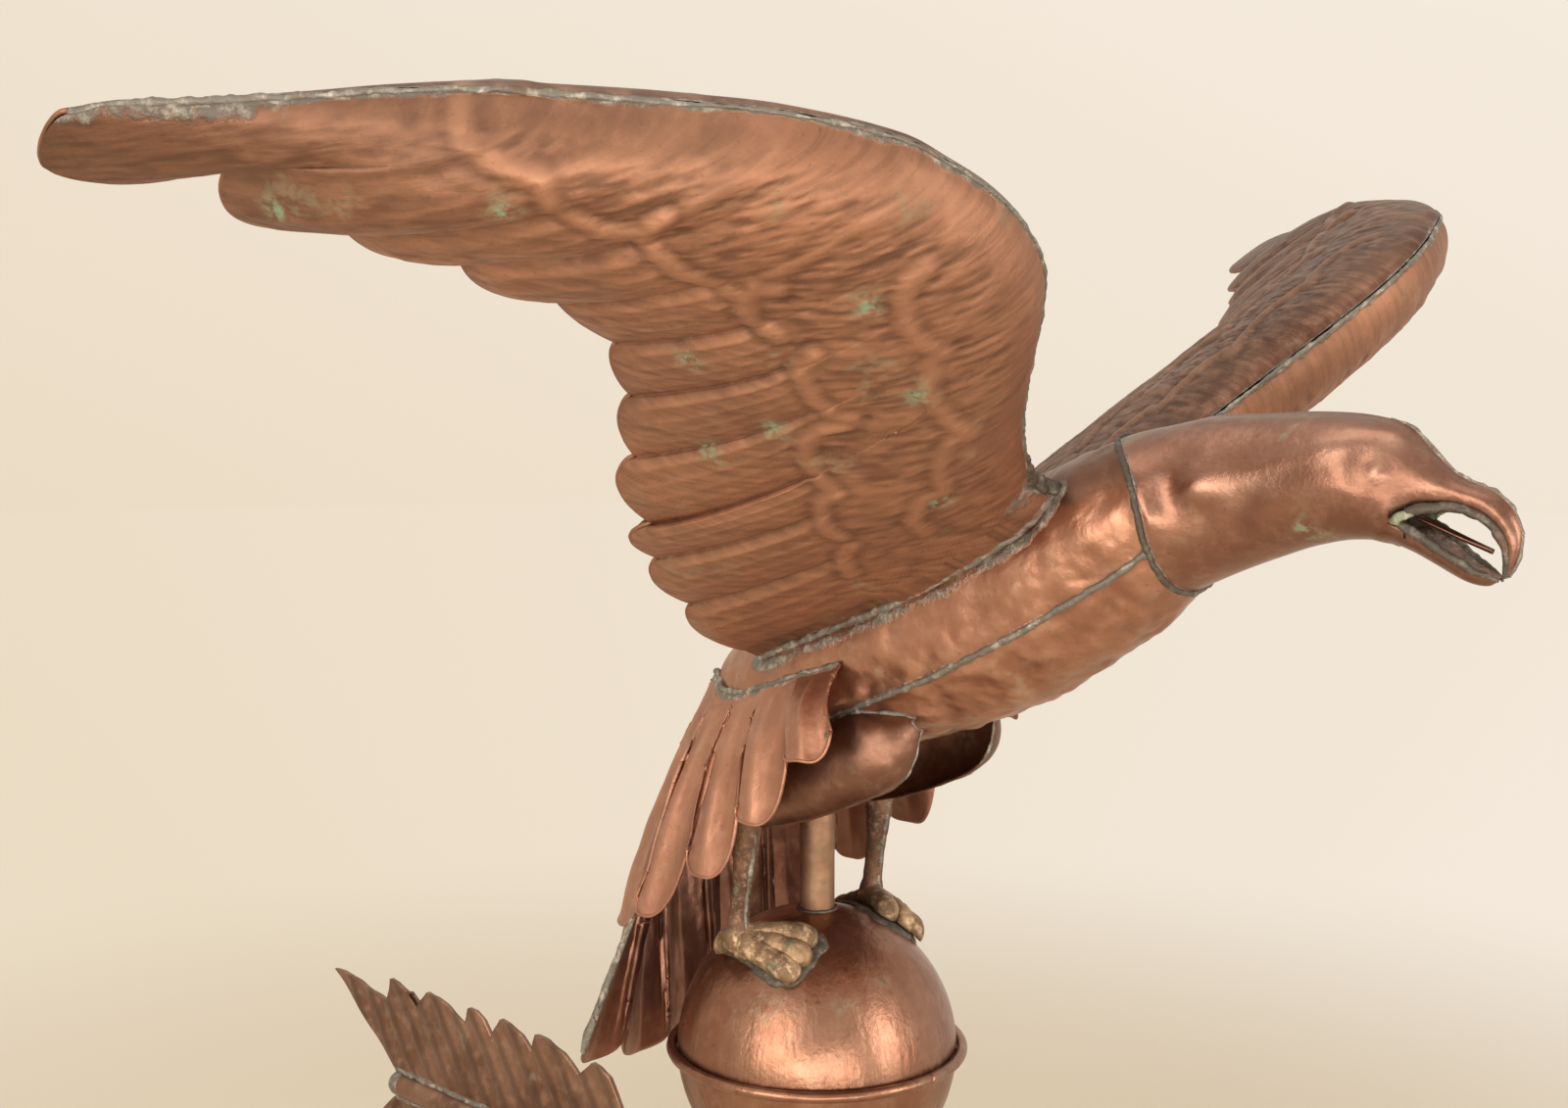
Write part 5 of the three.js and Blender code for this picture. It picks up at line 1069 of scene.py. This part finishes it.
def leg(side, word):
    ankle = on_foot(ANKLE, side)
    rows = curve_rows(LEG_ROWS, np.linspace(0, 1, 90))
    middles = ankle + points(rows[:, 1] * 6, 0, rows[:, 0] * (HOCK - ankle[2]))
    out = circle(1.0, round_angles(48)) * (rows[:, 2, None, None] * LEG_RADIUS)
    p = middles[:, None] + out
    p = raised(p, 0.4 * lumps(p, 7, 121) + 0.2 * lumps(p, 3, 122), out, wrap=True)
    sheet(f"{word}_shank", p, LEG, out, wrap=True, caps=(0, 1), replaces=[f"{word}_leg"], slot="cast_metal")
    path = middles[6:-12] + np.array([0.95, -0.1, 0]) * (rows[6:-12, 2] * (LEG_RADIUS - 0.5))[:, None]
    rope(f"{word}_leg_solder", path, 1.1, 12, 125, 0.7)


for side, word in SIDES:
    thigh(side, word)
    leg(side, word)
    foot(side, word)


# Ball, tube and arrow

# Height of the arrow's axis, then radii, where its tail ends, and the fletching's length and height
LEVEL = -130.0
TUBE_OUT, TUBE_IN = 9.5, 7.3
SHAFT, SLEEVE_IN, SLEEVE, POST = 8.5, 8.8, 11.0, 15.5
TAIL_END = -404.0
FLETCHING = np.array([330.0, 66.0])
BARBS = [(0.13, 0.92, 0.17, 0.74), (0.3, 0.98, 0.31, 0.78), (0.41, 1, 0.44, 0.78), (0.51, 1, 0.53, 0.8),
         (0.66, 0.98, 0.7, 0.76), (0.79, 0.98, 0.8, 0.72), (1, 0.86, 0.88, 0.42)]


def ball_half(name, side, seed):
    lift, angle = np.linspace(0.002, math.acos(10.0 / BALL), 90)[:, None], round_angles(240)
    p = circle(np.cos(lift), angle, side * np.sin(lift)) * BALL
    dents = 0.14 * lumps(p, 30, seed) + 0.03 * lumps(p, 9, seed + 1)
    # Painted shade beside the seam bead.
    sheet(f"{name}_skin", raised(p, dents, p, wrap=True), SPUN, p, wrap=True, replaces=[name], slot="ball_copper",
          masks={"solder": 0.6 * bell(lift * BALL, 2.4), "painted_shade": 0.35 * bell(lift * BALL, 5)})


def level_turned(name, profile, material, lump=0.0, solder_at=None, **more):
    """A revolved outline of (place, radius) points round the arrow's axis."""
    profile = np.array(profile, float)
    rows = [resample(profile[k:k + 2], 14)[:-1] for k in range(len(profile) - 1)]
    x, radius = np.vstack(rows + [profile[-1:]]).T[..., None]
    angle = round_angles(40)
    out = points(0, radius * np.cos(angle), radius * np.sin(angle)) + 1e-6
    p = points(x, radius * np.cos(angle), LEVEL + radius * np.sin(angle))
    masks = {"solder": 0.8 * ease(*solder_at, x)} if solder_at else None
    sheet(name, raised(p, lump * lumps(p, 11, 7), out, wrap=True), material, out, wrap=True, masks=masks, **more)


def fletching(name, side):
    line = [(0, 0.2), (0.05, 0.62)]
    for tip_at, tip_up, notch_at, notch_up in BARBS:
        (at, up), top = line[-1], max(line[-1][1], tip_up)
        line += [(at + (tip_at - at) * 0.35, top - 0.08), (at + (tip_at - at) * 0.7, top - 0.01), (tip_at, tip_up),
                 (notch_at, notch_up)]
    edge = resample(np.array(line + [(0.82, 0.2)]) * FLETCHING, 420)
    foot_length = 0.77 * FLETCHING[0]
    base = points(np.linspace(0, foot_length, len(edge)), 0)
    t = np.linspace(0, 1, 36)[:, None]
    x, z = np.moveaxis(base + (edge - base) * t[..., None], -1, 0)
    front = FLETCHING[0] * 0.78 + TAIL_END
    barbs = np.sin(x / 3.4 - z / 5.0 + 0.4 * flat_lumps(x / 20, z / 20, 3))
    height = 0.55 * barbs * ease(0.05, 0.25, t) + 0.5 * flat_lumps(x / 30, z / 30, 5)
    p = points(front - x, height + 1.5, LEVEL + side * (8.6 + z))
    # Painted shade in the grooves between the barbs.
    sheet(f"{name}_blade", p, ARROW, np.array([0, 1.0, 0]), thickness=3.0, replaces=[name],
          masks={"painted_shade": 0.5 * ease(0.2, 1, -barbs), "solder": 0.7 * bell(z, 5)})
    foot_line = points(front - np.linspace(0, foot_length, 120), 0, LEVEL + side * 9.2)
    rope(f"{name}_solder", foot_line, 2.4, 10, 151, 0.35)


ball_half("ball_upper", 1, 131)
ball_half("ball_lower", -1, 133)
rope("ball_seam_bead", circle(79.0, np.linspace(0, 2 * np.pi, 241)), 2.9, 20, 5, 0.02, SPUN, "ball_copper",
     replaces=["ball_bead"])
turned("tube_skin", [(TUBE_IN, -168), *((TUBE_OUT, z) for z in (-168, -160, -80, 0, 60, 100, 216)), (TUBE_IN, 216)],
       TUBE, sides=48, replaces=["standard_tube"])
rope("tube_solder", circle(10.2, np.linspace(0, 2 * np.pi, 90), 75.4), 1.1, 10, 141, 0.4, PATCH)
turned("collar_skin", [(9.6, -109.7), (13.2, -109.7), (13.5, -109.2), (13.4, -108.2), (12.4, -106), (11.8, -100),
                       (12.4, -93), (14, -86), (16.6, -80), (19.8, -75.5), (21.6, -73.0), (19, -72.8)],
       SPUN, sides=72, replaces=["ball_collar"], slot="ball_copper")
level_turned("arrow_tail_shaft", [(-403.6, 0.5), (-403.5, 5), (-402, 7.6),
                                  *((x, SHAFT) for x in (-399, -380, -200, -12.3))],
             ARROW, lump=0.25, solder_at=(-382, -400), replaces=["arrow_shaft_rear"])
level_turned("arrow_front_shaft", [(x, SHAFT) for x in (12.3, 120, 318)], ARROW, lump=0.25,
             replaces=["arrow_shaft_front"])
level_turned("hub_sleeve", [(-41.5, SLEEVE_IN), (-41.5, 10.6), *((x, SLEEVE) for x in (-40.8, -30, 30, 40.8)),
                            (41.5, 10.6), (41.5, SLEEVE_IN)],
             CAST, lump=0.2, replaces=["arrow_hub"], slot="cast_metal")
turned("hub_post", [(9.8, -150), (14.6, -150), *((POST, z) for z in (-149, -140, -120, -111)), (14.6, -110),
                    (9.8, -110)], CAST, sides=72, slot="cast_metal")
level_turned("head_socket", [(288.4, SLEEVE_IN), (288.4, 10.6), *((x, SLEEVE) for x in (289, 300, 318)), (333, 10),
                             (333.2, 0.5)], ARROW, lump=0.2)
fletching("fletching_upper", 1)
fletching("fletching_lower", -1)

for name, material in (("arrow_head", ARROW), ("bearing_cap", CAST), ("lower_bush", CAST), ("spindle_rod", IRON)):
    for slot in frame["nodes"][name].material_slots:
        slot.material = material


# Floor, lights and camera

CREAM, SKY, SKY_RANGE = (0.83, 0.715, 0.555), (0.915, 0.83, 0.73), (-0.25, 0.38)
FLOOR_RADIUS = 9.0
TURN = math.radians(44)
RIGHT = np.array([math.cos(TURN), math.sin(TURN), 0])
BACKWARD = np.array([math.sin(TURN), -math.cos(TURN), 0])


def sky(n, place, up):
    """The backdrop's colour, with painted light: paler towards the camera's right and, as much as up says, above."""
    slant = n.vector("DOT_PRODUCT", place, (*(0.5 * RIGHT[:2]), up))
    return n.mix(n.ramp(slant, *SKY_RANGE, shape="LINEAR"), CREAM, SKY)


def seen_rays(n):
    rays = n.add("ShaderNodeLightPath").outputs
    seen = n.math("MAXIMUM", rays["Is Camera Ray"], rays["Is Glossy Ray"])
    return n.math("MAXIMUM", seen, rays["Is Transmission Ray"])


def floor():
    """A pale floor that takes shadows near the object and turns into the backdrop far from it."""
    n = Nodes(bpy.data.materials.new("pale_floor"))
    speckle = n.tint(CREAM, n.noise(3.0, 4, 0.6), 0.06, scaled(CREAM, 0.9))
    diffuse = n.made("ShaderNodeBsdfDiffuse", {"Color": speckle})
    glow = n.made("ShaderNodeEmission", {"Color": sky(n, n.vector("NORMALIZE", n.place, output="Vector"), 0.0)})
    far = n.ramp(n.vector("LENGTH", n.place), 0.55, 1.6)
    surface = n.made("ShaderNodeMixShader", {0: n.times(far, seen_rays(n)), 1: diffuse, 2: glow})
    n.join(surface, n.out.inputs["Surface"])
    mesh = bpy.data.meshes.new("studio_floor")
    mesh.from_pydata(circle(FLOOR_RADIUS, round_angles(96), -0.0005).tolist(), [], [list(range(96))])
    mesh.materials.append(n.owner)
    piece = bpy.data.objects.new("studio_floor", mesh)
    bpy.context.scene.collection.objects.link(piece)


def world():
    bpy.context.scene.world = bpy.data.worlds.new("studio")
    n = Nodes(bpy.context.scene.world, "ShaderNodeOutputWorld")
    light = n.made("ShaderNodeBackground", {"Color": (1.0, 0.95, 0.87), "Strength": 0.55})
    seen = n.made("ShaderNodeBackground", {"Color": sky(n, n.coordinates["Generated"], 1.0)})
    surface = n.made("ShaderNodeMixShader", {0: seen_rays(n), 1: light, 2: seen})
    n.join(surface, n.out.inputs["Surface"])


def soft_light(name, right, backward, height, toward, size, power, color):
    data = bpy.data.lights.new(name, "AREA")
    data.shape = "RECTANGLE"
    data.size, data.size_y = size
    data.energy = power
    data.color = color
    lamp = bpy.data.objects.new(name, data)
    bpy.context.scene.collection.objects.link(lamp)
    lamp.location = RIGHT * right + BACKWARD * backward + UP * height
    lamp.rotation_euler = (mathutils.Vector(toward) - lamp.location).to_track_quat("-Z", "Y").to_euler()


floor()
world()
soft_light("key_left", -1.35, 1.8, 1.05, (0.02, 0, 0.5), (1.0, 1.8), 29, (1.0, 0.95, 0.88))
soft_light("fill_right", 1.9, 1.1, 0.8, (0.05, 0, 0.5), (0.7, 1.6), 19, (1.0, 0.94, 0.86))
soft_light("top", -0.2, 0.2, 2.6, (0, 0, 0.5), (1.6, 1.6), 12, (1.0, 0.97, 0.92))
soft_light("low_front", 0.1, 2.0, 0.12, (0, 0, 0.6), (2.2, 0.7), 33, (1.0, 0.93, 0.85))

camera = bpy.data.objects.new("camera", bpy.data.cameras.new("camera"))
bpy.context.scene.collection.objects.link(camera)
camera.location = (0.6734, -0.7231, 0.6476)
camera.rotation_euler = (math.radians(90 - 5.299), 0, TURN)
camera.data.lens = 42.75
camera.data.sensor_width = 36
camera.data.sensor_fit = "HORIZONTAL"
bpy.context.scene.camera = camera
bpy.context.scene.view_settings.view_transform = "Standard"
